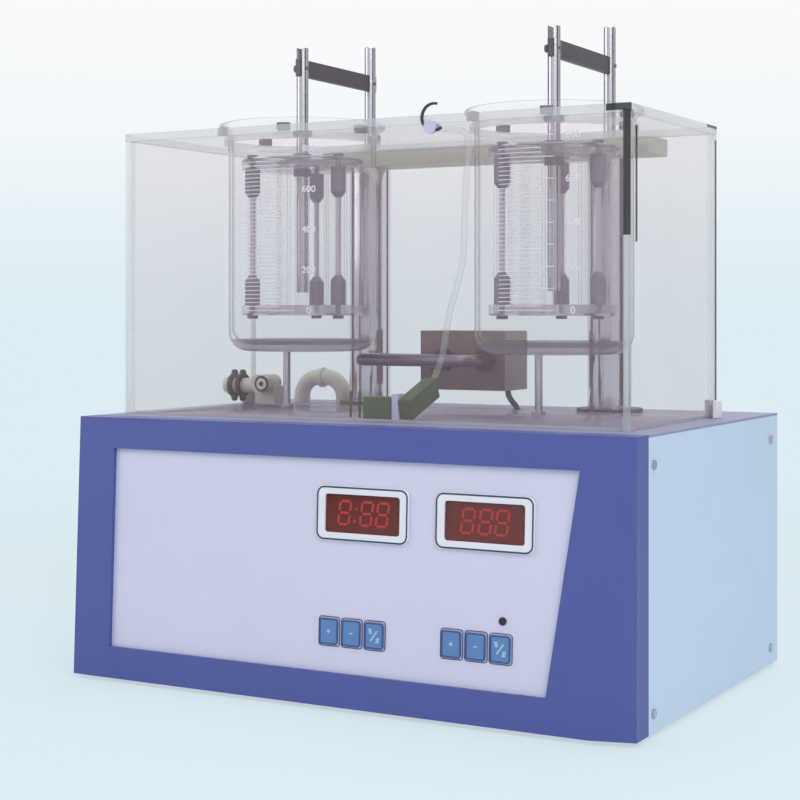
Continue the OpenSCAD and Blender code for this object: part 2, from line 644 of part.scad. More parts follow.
module drain_clamp() color([0.35, 0.32, 0.15])
    for (x = [tank_x - 2.85, tank_x + tank_t + 0.05]) translate([x, drain_y, drain_z]) difference() {
        union() {
            tube_x(9.5, 2.8);
            for (s = [-1, 1]) translate([0, 0, s * 9.6]) tube_x(3, 2.8);
        }
        translate([-1, 0, 0]) tube_x(drain_r + 0.03, 5);
    }

module return_pipe() color(pale_green) translate([ret_x, ret_y, 0]) {
    for (sx = [-1, 1]) translate([sx * 20, 0, deck - 12]) cylinder(r = ret_r, h = 16.5);
    for (sx = [-1, 1]) translate([sx * 4, 0, deck + 4.5]) rotate([90, 0, sx > 0 ? 0 : 180])
        rotate_extrude(angle = 90) translate([ret_bend, 0]) circle(r = ret_r);
    translate([-4, 0, deck + 4.5 + ret_bend]) tube_x(ret_r, 8);
    translate([-1.5, 0, deck + 4.5 + ret_bend]) tube_x(ret_r + 1.6, 3);
}

module air_hose() color(glass) cord(hose_pts, hose_r);

// a hook with a disc on the bath's front, the block behind it that holds the hose, and the foot clip
module hose_clips() color([0.85, 0.88, 0.9, 0.6]) {
    translate([clip_x, tank_y - 2.65, clip_z]) tube_y(4.6, 2.6);
    translate([clip_x + 2.5, tank_y - 0.05, clip_z + 6.6]) rotate([90, 0, 0]) linear_extrude(1.6)
        difference() {
            circle(r = 9.7);
            circle(r = 8.1);
            polygon([[0, 0], [12, -15], [20, 0], [5, 19]]);
        }
    translate([clip_x - 4, tank_y + tank_t + 0.05, clip_z - 1.9]) cube([6.4, 3.05, 4.5]);
    translate([16.4, yo - 92, deck + tank_floor]) cube([5, 8, 17]);
}

// the hose's end runs on a little in the bore that takes it, with room all round
hose_end = hose_pts[len(hose_pts) - 1];
hose_before = hose_pts[len(hose_pts) - 2];
module hose_bore() cord([hose_before, hose_end, hose_end + 0.15 * (hose_end - hose_before)], hose_r + 0.3);

bar_a = 20;
module air_stone() {
    color([0.1, 0.4, 0.15]) translate([-5, yo - 93, deck + tank_floor]) cube([21, 14, 14.6]);
    color([0.1, 0.4, 0.15]) difference() {
        translate([22, yo - 89, deck + tank_floor]) rotate([bar_a, 0, 0]) cube([9.6, 40, 14]);
        hose_bore();
    }
    color(dark) for (x = [-19, -12]) translate([x, yo - 86, deck + tank_floor]) cylinder(r = 0.9, h = 18);
}

// ---- rear and underside ----
module rear_fittings() color(dark) {
    difference() {
        union() {
            translate([inlet_x - 14, rear_y - 24, foot_h + 32]) cube([28, 24, 20]);
            translate([inlet_x - 18, rear_y, foot_h + 29]) cube([36, rear_out, 26]);
        }
        translate([inlet_x - 11.5, rear_y - 18, foot_h + 34.5]) cube([23, 30, 15]);
    }
    for (x = [-7, 0, 7]) translate([inlet_x + x - 1, rear_y - 19, foot_h + 39]) cube([2, 14, 4]);
    difference() {
        union() {
            translate([switch_x - 9.5, rear_y - 18, foot_h + 35.5]) cube([19, 18, 13]);
            translate([switch_x - 11.5, rear_y, foot_h + 33.5]) cube([23, 1.5, 17]);
        }
        translate([switch_x - 8, rear_y - 12, foot_h + 37]) cube([16, 20, 10]);
    }
    translate([switch_x - 8.3, rear_y - 4, foot_h + 42]) tube_x(0.8, 16.6);
}

module rocker_switch() color([0.75, 0.1, 0.1]) difference() {
    translate([switch_x - 7.6, rear_y - 4, foot_h + 42]) intersection() {
        rotate([10, 0, 0]) translate([0, -2.5, -3.9]) cube([15.2, 8.6, 7.8]);
        tube_x(7, 15.2);
    }
    translate([switch_x - 11, rear_y - 4, foot_h + 42]) tube_x(0.85, 22);
}

module feet_and_screws() {
    color(dark) for (sx = [-1, 1], sy = [-1, 1]) translate([sx * foot_x, yo + sy * foot_y, 0]) {
        cylinder(r = 9, h = foot_h);
        cylinder(r = 2, h = foot_h + 3);
    }
    color(steel) for (s = [-1, 1], y = [front_y + 27, rear_y - 18], z = [12.2, screw_top])
        translate([s * side_x, y, foot_h + z]) rotate([0, s * 90, 0]) {
            cylinder(r = 3, h = 1.4);
            translate([0, 0, -4]) cylinder(r = 1.5, h = 5);
        }
}

base_tray();
case_wrap();
deck_plate();
front_bezel();
control_panel();
display_frames();
display_windows();
display_board();
key_time_up();
key_time_down();
key_time_run();
key_temp_up();
key_temp_down();
key_temp_run();
indicator_led();
control_board();
transformer();
air_pump();
gear_motor();
motor_bracket();
crank_disc();
crank_roller();
lift_yoke();
lifting_rods();
guide_bushes();
column_left();
column_right();
column_flanges();
tie_beam();
lift_arms();
carriage_fasteners();
hanger_rods();
top_discs();
upper_plates();
lower_plates();
tubes_left();
tubes_right();
tie_posts();
mesh_screens();
beaker_left();
beaker_right();
beaker_lugs();
tank();
tank_cover();
corner_blocks();
beaker_posts();
heater_tube();
heater_nuts();
junction_box();
junction_lid();
heater_cable();
drain_valve();
drain_clamp();
return_pipe();
air_hose();
hose_clips();
air_stone();
rear_fittings();
rocker_switch();
feet_and_screws();
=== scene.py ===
"""Looks of the tablet disintegration tester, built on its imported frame, in metres."""

import json
import logging
import math
from collections.abc import Callable, Iterable
from dataclasses import dataclass, field, replace
from enum import Enum

import bmesh
import bpy
from mathutils import Matrix, Vector

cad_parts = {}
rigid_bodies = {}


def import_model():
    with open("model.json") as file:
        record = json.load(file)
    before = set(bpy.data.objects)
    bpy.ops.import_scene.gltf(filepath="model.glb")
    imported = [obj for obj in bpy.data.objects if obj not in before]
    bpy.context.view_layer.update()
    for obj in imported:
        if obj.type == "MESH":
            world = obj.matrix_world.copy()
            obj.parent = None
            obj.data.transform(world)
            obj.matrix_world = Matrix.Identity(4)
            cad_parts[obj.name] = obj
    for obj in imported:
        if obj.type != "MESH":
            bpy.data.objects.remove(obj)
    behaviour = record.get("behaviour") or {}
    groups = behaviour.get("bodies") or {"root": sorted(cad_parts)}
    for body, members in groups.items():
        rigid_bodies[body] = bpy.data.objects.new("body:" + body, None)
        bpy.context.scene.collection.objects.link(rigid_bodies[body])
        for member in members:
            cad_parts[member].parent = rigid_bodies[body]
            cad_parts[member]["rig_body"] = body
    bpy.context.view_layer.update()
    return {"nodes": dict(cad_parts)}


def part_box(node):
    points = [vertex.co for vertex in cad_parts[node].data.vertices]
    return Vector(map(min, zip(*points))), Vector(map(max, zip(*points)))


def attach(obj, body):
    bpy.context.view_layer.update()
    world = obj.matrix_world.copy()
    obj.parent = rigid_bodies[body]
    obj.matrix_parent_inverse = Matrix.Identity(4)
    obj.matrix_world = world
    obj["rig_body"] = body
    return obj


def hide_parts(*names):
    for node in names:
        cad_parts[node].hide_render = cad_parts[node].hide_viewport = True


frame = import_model()
MM = 0.001
Colour = tuple[float, float, float]
Point = tuple[float, float, float]
Flat = tuple[float, float]
QUARTER = Matrix.Rotation(math.pi / 2, 4, "Z")
log = logging.getLogger("tester")


def paint(red: int, green: int, blue: int) -> Colour:
    """Turn a screen colour into a shader's linear colour.

    Args:
        red: Red from 0 to 255.
        green: Green from 0 to 255.
        blue: Blue from 0 to 255.

    Returns:
        The linear colour.
    """
    shares = [value / 255 for value in (red, green, blue)]
    linear = [s / 12.92 if s <= 0.04045 else ((s + 0.055) / 1.055) ** 2.4 for s in shares]
    return (linear[0], linear[1], linear[2])


def combine(
    tree: bpy.types.NodeTree,
    first: bpy.types.NodeSocket | None,
    second: bpy.types.NodeSocket,
    operation: str,
) -> bpy.types.NodeSocket:
    """Join two numbers with a Math node.

    Args:
        tree: The node tree that gets the node.
        first: The first number, or None at the start of a chain.
        second: The second number.
        operation: The Math node's operation.

    Returns:
        The result, or second where there is no first.
    """
    if first is None:
        return second
    maths = tree.nodes.new("ShaderNodeMath")
    maths.operation = operation
    tree.links.new(first, maths.inputs[0])
    tree.links.new(second, maths.inputs[1])
    return maths.outputs[0]


class Skin(Enum):
    """The fine relief of a surface: grains to the metre along X, Y and Z."""

    POWDER = (900.0, 900.0, 900.0)
    MOULDED = (1600.0, 1600.0, 1600.0)
    DRAWN = (2200.0, 2200.0, 60.0)
    MILLED = (60.0, 2200.0, 2200.0)
    CAST = (420.0, 420.0, 420.0)
    SINTERED = (700.0, 700.0, 700.0)


@dataclass(frozen=True)
class Finish:
    """An opaque finish with drift in its colour, uneven gloss and a fine relief."""

    name: str
    colour: Colour
    roughness: float
    metallic: float = 0.0
    skin: Skin = Skin.MOULDED
    drift: float = 0.06
    relief: float = 0.08
    glow: float = 0.0

    def material(self) -> bpy.types.Material:
        """Return the finish's material, made at its first use."""
        return bpy.data.materials.get(f"{self.name}_finish") or self._build()

    def _build(self) -> bpy.types.Material:
        """Build the node tree.

        Returns:
            The new material.
        """
        made = bpy.data.materials.new(f"{self.name}_finish")
        made.use_nodes = True
        nodes, links = made.node_tree.nodes, made.node_tree.links
        shader = nodes["Principled BSDF"]
        shader.inputs["Metallic"].default_value = self.metallic
        place = nodes.new("ShaderNodeTexCoord")
        stretch = nodes.new("ShaderNodeMapping")
        stretch.inputs["Scale"].default_value = self.skin.value
        links.new(place.outputs["Object"], stretch.inputs["Vector"])
        grain = nodes.new("ShaderNodeTexNoise")
        grain.inputs["Scale"].default_value = 1.0
        grain.inputs["Detail"].default_value = 3.0
        links.new(stretch.outputs["Vector"], grain.inputs["Vector"])
        cloud = nodes.new("ShaderNodeTexNoise")
        cloud.inputs["Scale"].default_value = 22.0
        cloud.inputs["Detail"].default_value = 4.0
        links.new(place.outputs["Object"], cloud.inputs["Vector"])
        tone = nodes.new("ShaderNodeMix")
        tone.data_type = "RGBA"
        tone.inputs["A"].default_value = (*[c * (1 - self.drift) for c in self.colour], 1)
        tone.inputs["B"].default_value = (*[min(1, c * (1 + self.drift)) for c in self.colour], 1)
        links.new(cloud.outputs["Fac"], tone.inputs["Factor"])
        links.new(tone.outputs["Result"], shader.inputs["Base Color"])
        gloss = nodes.new("ShaderNodeMapRange")
        gloss.inputs["To Min"].default_value = max(0.02, self.roughness * 0.85)
        gloss.inputs["To Max"].default_value = min(1.0, self.roughness * 1.15)
        links.new(grain.outputs["Fac"], gloss.inputs["Value"])
        links.new(gloss.outputs["Result"], shader.inputs["Roughness"])
        bump = nodes.new("ShaderNodeBump")
        bump.inputs["Strength"].default_value = self.relief
        bump.inputs["Distance"].default_value = 0.15 * MM
        links.new(grain.outputs["Fac"], bump.inputs["Height"])
        links.new(bump.outputs["Normal"], shader.inputs["Normal"])
        if self.glow:
            shader.inputs["Emission Color"].default_value = (*self.colour, 1)
            shader.inputs["Emission Strength"].default_value = self.glow
        return made


@dataclass(frozen=True)
class Clear:
    """Clear glass or acrylic: faint seen square on, and deeper in tone at its outline.

    Where shade patches are given, the tone is dark inside those boxes: painted shade.
    """

    name: str
    middle: Colour
    outline: Colour
    haze: float
    outline_haze: float
    roughness: float = 0.04
    outline_from: float = 0.68
    # Boxes of painted shade, with their colour, alpha and soft border.
    patches: tuple[tuple[Point, Point], ...] = ()
    patch_colour: Colour = (0.012, 0.012, 0.014)
    patch_haze: float = 0.93
    patch_edge: float = 3 * MM

    def material(self) -> bpy.types.Material:
        """Return the finish's material, made at its first use."""
        return bpy.data.materials.get(f"{self.name}_finish") or self._build()

    def _build(self) -> bpy.types.Material:
        """Build the node tree.

        Returns:
            The new material.
        """
        made = bpy.data.materials.new(f"{self.name}_finish")
        made.use_nodes = True
        nodes, links = made.node_tree.nodes, made.node_tree.links
        shader = nodes["Principled BSDF"]
        shader.inputs["Roughness"].default_value = self.roughness
        shader.inputs["IOR"].default_value = 1.49
        facing = nodes.new("ShaderNodeLayerWeight")
        facing.inputs["Blend"].default_value = 0.5
        curve = nodes.new("ShaderNodeMapRange")
        curve.interpolation_type = "SMOOTHSTEP"
        curve.inputs["From Min"].default_value = self.outline_from
        links.new(facing.outputs["Facing"], curve.inputs["Value"])
        tone = nodes.new("ShaderNodeMix")
        tone.data_type = "RGBA"
        tone.inputs["A"].default_value = (*self.middle, 1)
        tone.inputs["B"].default_value = (*self.outline, 1)
        links.new(curve.outputs["Result"], tone.inputs["Factor"])
        haze = nodes.new("ShaderNodeMapRange")
        haze.inputs["To Min"].default_value = self.haze
        haze.inputs["To Max"].default_value = self.outline_haze
        links.new(curve.outputs["Result"], haze.inputs["Value"])
        colour, alpha = tone.outputs["Result"], haze.outputs["Result"]
        if self.patches:
            # Painted shade: inside the boxes the colour and alpha turn dark.
            share = self._inside(made)
            dark = nodes.new("ShaderNodeMix")
            dark.data_type = "RGBA"
            dark.inputs["B"].default_value = (*self.patch_colour, 1)
            links.new(share, dark.inputs["Factor"])
            links.new(colour, dark.inputs["A"])
            thick = nodes.new("ShaderNodeMix")
            thick.inputs["B"].default_value = self.patch_haze
            links.new(share, thick.inputs["Factor"])
            links.new(alpha, thick.inputs["A"])
            colour, alpha = dark.outputs["Result"], thick.outputs["Result"]
        links.new(colour, shader.inputs["Base Color"])
        links.new(alpha, shader.inputs["Alpha"])
        return made

    def _inside(self, made: bpy.types.Material) -> bpy.types.NodeSocket:
        """Make nodes that give 1 inside any patch and 0 outside.

        Args:
            made: The material that gets the nodes.

        Returns:
            The socket that holds the share.
        """
        nodes, links = made.node_tree.nodes, made.node_tree.links
        place = nodes.new("ShaderNodeTexCoord")
        split = nodes.new("ShaderNodeSeparateXYZ")
        links.new(place.outputs["Object"], split.inputs["Vector"])
        total = None
        for low, high in self.patches:
            product = None
            for axis in range(3):
                for limit, sign in ((low[axis], 1), (high[axis], -1)):
                    step = nodes.new("ShaderNodeMapRange")
                    step.interpolation_type = "SMOOTHSTEP"
                    step.inputs["From Min"].default_value = limit - sign * self.patch_edge
                    step.inputs["From Max"].default_value = limit
                    links.new(split.outputs[axis], step.inputs["Value"])
                    product = combine(made.node_tree, product, step.outputs["Result"], "MULTIPLY")
            total = combine(made.node_tree, total, product, "MAXIMUM")
        return total


Coat = Finish | Clear

SIDE_PAINT = Finish("side_paint", paint(204, 222, 242), 0.45, skin=Skin.POWDER, drift=0.02)
DECK_PAINT = Finish("deck_paint", paint(148, 150, 182), 0.5, skin=Skin.POWDER, drift=0.03)
BLUE_SHELL = Finish("blue_shell", paint(76, 87, 156), 0.42, skin=Skin.MOULDED, drift=0.04)
PANEL_FILM = Finish("panel_film", paint(212, 211, 232), 0.4, drift=0.02, relief=0.03)
TRAY_ZINC = Finish("tray_zinc", paint(168, 170, 176), 0.45, 1.0, Skin.CAST, 0.12)
FRAME_SILVER = Finish("frame_silver", paint(232, 232, 240), 0.25, 0.0, Skin.MOULDED, 0.02, 0.02)
OUTLINE_TEAL = Finish("outline_teal", paint(38, 66, 92), 0.4)
WINDOW_RED = Finish("display_window_red", paint(104, 46, 44), 0.14, drift=0.08, relief=0.02)
DIGIT_RED = Finish("digit_red", paint(172, 48, 46), 0.4, glow=0.06)
DIGIT_DIM = Finish("digit_dim", paint(132, 50, 48), 0.4)
KEY_BLUE = Finish("key_cap_blue", paint(92, 132, 184), 0.32, drift=0.05)
# Darker blue band on each key's top: painted shade of the key's edges.
KEY_EDGE_SHADE = Finish("key_rim_blue", paint(52, 80, 142), 0.36, drift=0.05)
KEY_MARK = Finish("key_mark", paint(164, 200, 230), 0.5)
# Dark ring round each key: painted shade in the gap between key and panel.
GAP_SHADE_DARK = Finish("gasket_dark", paint(64, 72, 104), 0.6)
LAMP_DARK = Finish("lamp_dark", paint(40, 34, 32), 0.2)
STEEL = Finish("bright_steel", paint(190, 186, 194), 0.24, 1.0, Skin.DRAWN, 0.08, 0.12)
CHROME = Finish("chrome", paint(214, 212, 220), 0.09, 1.0, Skin.DRAWN, 0.03, 0.02)
BLACK_MOULDING = Finish("black_moulding", paint(36, 34, 38), 0.5)
DARK_ARM = Finish("dark_arm", paint(98, 90, 96), 0.42, 0.4, Skin.MILLED, 0.1)
PALE_GREEN = Finish("pale_green_paint", paint(188, 190, 176), 0.45, drift=0.05)
SLEEVE_GREY = Finish("sleeve_grey", paint(118, 114, 132), 0.36)
PIPE_GREEN = Finish("pipe_green_paint", paint(218, 222, 208), 0.4, drift=0.04)
POST_ROD = Finish("post_rod", paint(186, 182, 192), 0.3, 0.6, Skin.DRAWN, 0.05)
HEATER_GREY = Finish("heater_grey", paint(122, 118, 132), 0.32, 0.9, Skin.MILLED, 0.06, 0.05)
# The junction box's paint as a shaded copy for its front and top and a lit copy for its sides: painted
# shade and painted light.
BOX_SHADED_FRONT = Finish("box_painted_shade", paint(104, 98, 94), 0.5, skin=Skin.POWDER)
BOX_LIT_SIDE = Finish("box_side_painted_light", paint(136, 136, 132), 0.5, skin=Skin.POWDER)
CLAMP_DARK = Finish("clamp_dark", paint(52, 50, 50), 0.3, 0.7, Skin.CAST)
STONE_GREEN = Finish("sintered_green", paint(62, 92, 58), 0.85, skin=Skin.SINTERED, drift=0.3, relief=0.6)
CABLE_BLACK = Finish("cable_sheath_black", paint(24, 24, 26), 0.6)
RUBBER = Finish("rubber_foot", paint(40, 40, 42), 0.8, skin=Skin.CAST, relief=0.3)
BRASS = Finish("brass_bush", paint(196, 164, 92), 0.3, 1.0, Skin.DRAWN)
BOARD_GREEN = Finish("board_green_mask", paint(26, 92, 54), 0.45)
IRON = Finish("core_iron", paint(110, 110, 114), 0.6, 0.7, Skin.CAST, 0.15)
PUMP_GREY = Finish("pump_case_grey", paint(96, 98, 106), 0.55)
ALLOY = Finish("milled_alloy", paint(168, 170, 176), 0.38, 1.0, Skin.MILLED, 0.1)
ROLLER_CREAM = Finish("roller_nylon", paint(214, 204, 168), 0.45)
ROCKER_RED = Finish("rocker_cap_red", paint(176, 30, 26), 0.25)
BLOCK_WHITE = Finish("white_nylon", paint(240, 240, 246), 0.3)
DISC_BLUE = Finish("disc_pale_blue", paint(198, 198, 230), 0.35)
HOOK_DARK = Finish("hook_dark", paint(48, 46, 58), 0.4)
SCALE_WHITE = Finish("scale_white", paint(240, 240, 248), 0.6)
BEAKER_GLASS = Clear("beaker_glass", paint(214, 206, 212), paint(56, 54, 66), 0.04, 0.82, 0.04, 0.64)
BASE_GLASS = Clear("base_glass", paint(124, 119, 140), paint(84, 80, 100), 0.5, 0.88)
TUBE_GLASS = Clear("tube_glass", paint(206, 200, 204), paint(34, 32, 40), 0.02, 0.8)
PLATE_CLEAR = Clear("plate_clear", paint(196, 194, 202), paint(118, 114, 126), 0.22, 0.6, 0.15)
SHEET_CLEAR = Clear("sheet_clear", paint(216, 190, 196), paint(202, 186, 192), 0.09, 0.24)
HOSE_CLEAR = Clear("hose_clear_wall", paint(226, 228, 234), paint(120, 120, 132), 0.18, 0.72, 0.12, 0.5)


def shade_smooth(mesh: bmesh.types.BMesh, sharp_over: float = 32.0) -> None:
    """Smooth all faces and keep the edges over an angle sharp.

    Args:
        mesh: The mesh that is shaded.
        sharp_over: The angle, in degrees, over which an edge stays sharp.
    """
    for face in mesh.faces:
        face.smooth = True
    for edge in mesh.edges:
        turned = len(edge.link_faces) == 2 and edge.calc_face_angle(0.0) > math.radians(sharp_over)
        edge.smooth = not turned


def stand(
    mesh: bmesh.types.BMesh, name: str, materials: Iterable[bpy.types.Material]
) -> bpy.types.Object:
    """Make an object of a finished bmesh.

    Args:
        mesh: The mesh, in place in the frame; it is freed.
        name: The object's name.
        materials: Its materials, in the order of the faces' material numbers.

    Returns:
        The new object.
    """
    data = bpy.data.meshes.new(name)
    mesh.to_mesh(data)
    mesh.free()
    for material in materials:
        data.materials.append(material)
    made = bpy.data.objects.new(name, data)
    bpy.context.scene.collection.objects.link(made)
    return made


def settle(
    mesh: bmesh.types.BMesh,
    name: str,
    body: str,
    coats: Iterable[Coat],
    replaced: Iterable[str] = (),
) -> bpy.types.Object:
    """Turn a finished bmesh into a piece that rides on a body.

    Args:
        mesh: The mesh, in place in the frame; it is freed.
        name: The piece's name.
        body: The body that carries the piece.
        coats: Its finishes, in the order of the faces' material numbers.
        replaced: The CAD nodes that it stands for.

    Returns:
        The new object.
    """
    piece = stand(mesh, name, [coat.material() for coat in coats])
    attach(piece, body)
    if replaced:
        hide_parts(*replaced)
    log.info("piece %s on %s", name, body)
    return piece


def dress(
    node: str,
    *coats: Coat,
    rounding: float = 0.0,
    choose: Callable[[bmesh.types.BMFace], int] | None = None,
) -> bpy.types.Object:
    """Stand a merged copy, with rounded edges, in the place of a CAD node.

    Args:
        node: The CAD node.
        coats: Its finishes.
        rounding: The width of the rounded edges.
        choose: Gives the number of a face's finish.

    Returns:
        The new object.
    """
    source = frame["nodes"][node]
    mesh = bmesh.new()
    mesh.from_mesh(source.data)
    bmesh.ops.remove_doubles(mesh, verts=mesh.verts, dist=0.002 * MM)
    bmesh.ops.dissolve_limit(
        mesh, angle_limit=math.radians(0.5), use_dissolve_boundaries=False,
        verts=mesh.verts, edges=mesh.edges, delimit=set(),
    )
    mesh.normal_update()
    shade_smooth(mesh)
    for face in mesh.faces:
        face.material_index = choose(face) if choose else 0
    piece = settle(mesh, f"{node}_dressed", source["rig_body"], coats, [node])
    if rounding:
        edge = piece.modifiers.new("rounded_edges", "BEVEL")
        edge.width = rounding
        edge.segments = 2
        edge.limit_method = "ANGLE"
        edge.angle_limit = math.radians(40)
        edge.harden_normals = True
    return piece


def coat_node(node: str, coat: Coat) -> None:
    """Give a CAD node that keeps its own mesh a finish."""
    mesh = frame["nodes"][node].data
    mesh.materials.clear()
    mesh.materials.append(coat.material())
    log.info("node %s keeps its mesh", node)


def block(
    mesh: bmesh.types.BMesh, low: Point, high: Point, rounding: float = 0.0
) -> list[bmesh.types.BMFace]:
    """Add a box with rounded edges.

    Args:
        mesh: The mesh that gets the box.
        low: Its lowest corner.
        high: Its highest corner.
        rounding: The width of the rounded edges.

    Returns:
        The faces of the box.
    """
    middle = (Vector(low) + Vector(high)) / 2
    size = Vector(high) - Vector(low)
    place = Matrix.Translation(middle) @ Matrix.Diagonal((*size, 1))
    before = set(mesh.faces)
    made = bmesh.ops.create_cube(mesh, size=1.0, matrix=place)
    if rounding:
        edges = list({edge for vert in made["verts"] for edge in vert.link_edges})
        bmesh.ops.bevel(
            mesh, geom=edges, offset=rounding, segments=2, profile=0.5, affect="EDGES", material=-1
        )
    return [face for face in mesh.faces if face not in before]


def lathe(profile: list[Flat], centre: Point, steps: int) -> bmesh.types.BMesh:
    """Turn a closed half outline about a vertical axis.

    Args:
        profile: Points of radius and height, in metres.
        centre: The foot of the axis.
        steps: The number of steps in the full turn.

    Returns:
        The closed mesh.
    """
    mesh = bmesh.new()
    base = Vector(centre)
    verts = [mesh.verts.new(base + Vector((radius, 0, height))) for radius, height in profile]
    edges = [mesh.edges.new(pair) for pair in zip(verts, verts[1:])]
    if profile[0][0] > 0 and profile[-1][0] > 0:
        edges.append(mesh.edges.new((verts[-1], verts[0])))
    bmesh.ops.spin(
        mesh, geom=[*verts, *edges], cent=base, axis=(0, 0, 1), angle=math.tau,
        steps=steps, use_merge=True, use_duplicate=False,
    )
    bmesh.ops.remove_doubles(mesh, verts=mesh.verts, dist=0.005 * MM)
    bmesh.ops.recalc_face_normals(mesh, faces=mesh.faces)
    return mesh


def arc(centre: Flat, radius: float, start: float, end: float, steps: int) -> list[Flat]:
    """Give the points of an arc in an outline.

    Args:
        centre: The arc's centre, as radius and height.
        radius: The arc's radius.
        start: The first angle in degrees.
        end: The last angle in degrees.
        steps: The number of steps.

    Returns:
        The points, both ends included.
    """
    angles = [math.radians(start + (end - start) * i / steps) for i in range(steps + 1)]
    return [(centre[0] + radius * math.cos(a), centre[1] + radius * math.sin(a)) for a in angles]


def ring_plate(
    mesh: bmesh.types.BMesh,
    width: float,
    height: float,
    corner: float,
    rim: float,
    thick: float,
    place: Matrix,
) -> None:
    """Add a thin rounded rectangular ring.

    Args:
        mesh: The mesh that gets the ring.
        width: Its outside width.
        height: Its outside height.
        corner: The radius of its outer corners.
        rim: The width of the band.
        thick: Its thickness.
        place: Where it lies.
    """
    part = bmesh.new()
    shape = Matrix.Diagonal((width, height, 1, 1))
    made = bmesh.ops.create_grid(part, x_segments=1, y_segments=1, size=0.5, matrix=shape)
    bmesh.ops.bevel(
        part, geom=made["verts"], offset=corner, segments=5, profile=0.5, affect="VERTICES", material=-1
    )
    inner = bmesh.ops.inset_region(
        part, faces=part.faces[:], thickness=rim, use_boundary=True, use_even_offset=True
    )
    keep = set(inner["faces"])
    bmesh.ops.delete(part, geom=[f for f in part.faces if f not in keep], context="FACES")
    thicken(mesh, part, thick, place)


def thicken(mesh: bmesh.types.BMesh, part: bmesh.types.BMesh, thick: float, place: Matrix) -> None:
    """Give a flat part its thickness and its place, and add it to a mesh.

    Args:
        mesh: The mesh that gets the part.
        part: The flat part, drawn in X and Y; it is freed.
        thick: Its thickness.
        place: Where it lies.
    """
    lifted = bmesh.ops.extrude_face_region(part, geom=part.faces[:])
    raised = [item for item in lifted["geom"] if isinstance(item, bmesh.types.BMVert)]
    bmesh.ops.translate(part, verts=raised, vec=(0, 0, thick))
    bmesh.ops.recalc_face_normals(part, faces=part.faces)
    bmesh.ops.transform(part, matrix=place, verts=part.verts)
    merge(mesh, part)


def merge(mesh: bmesh.types.BMesh, part: bmesh.types.BMesh) -> None:
    """Add a part's mesh to another and free it."""
    carrier = bpy.data.meshes.new("carrier")
    part.to_mesh(carrier)
    part.free()
    mesh.from_mesh(carrier)
    bpy.data.meshes.remove(carrier)


@dataclass
class Cabinet:
    """The sheet case with its deck, tray, feet, screws and rear fittings."""

    sheet_edge: float = 0.4 * MM
    foot_reach: float = 4 * MM

    def build(self) -> None:
        """Dress the case."""
        dress("case_wrap", SIDE_PAINT, rounding=self.sheet_edge)
        dress("deck_plate", DECK_PAINT, rounding=self.sheet_edge)
        dress("base_tray", TRAY_ZINC)
        dress("rear_fittings", BLACK_MOULDING, rounding=0.4 * MM)
        dress("rocker_switch", ROCKER_RED, rounding=0.3 * MM)
        rubber_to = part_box("base_tray")[0].z + self.foot_reach
        dress(
            "feet_and_screws", RUBBER, STEEL,
            choose=lambda face: int(face.calc_center_median().z > rubber_to),
        )


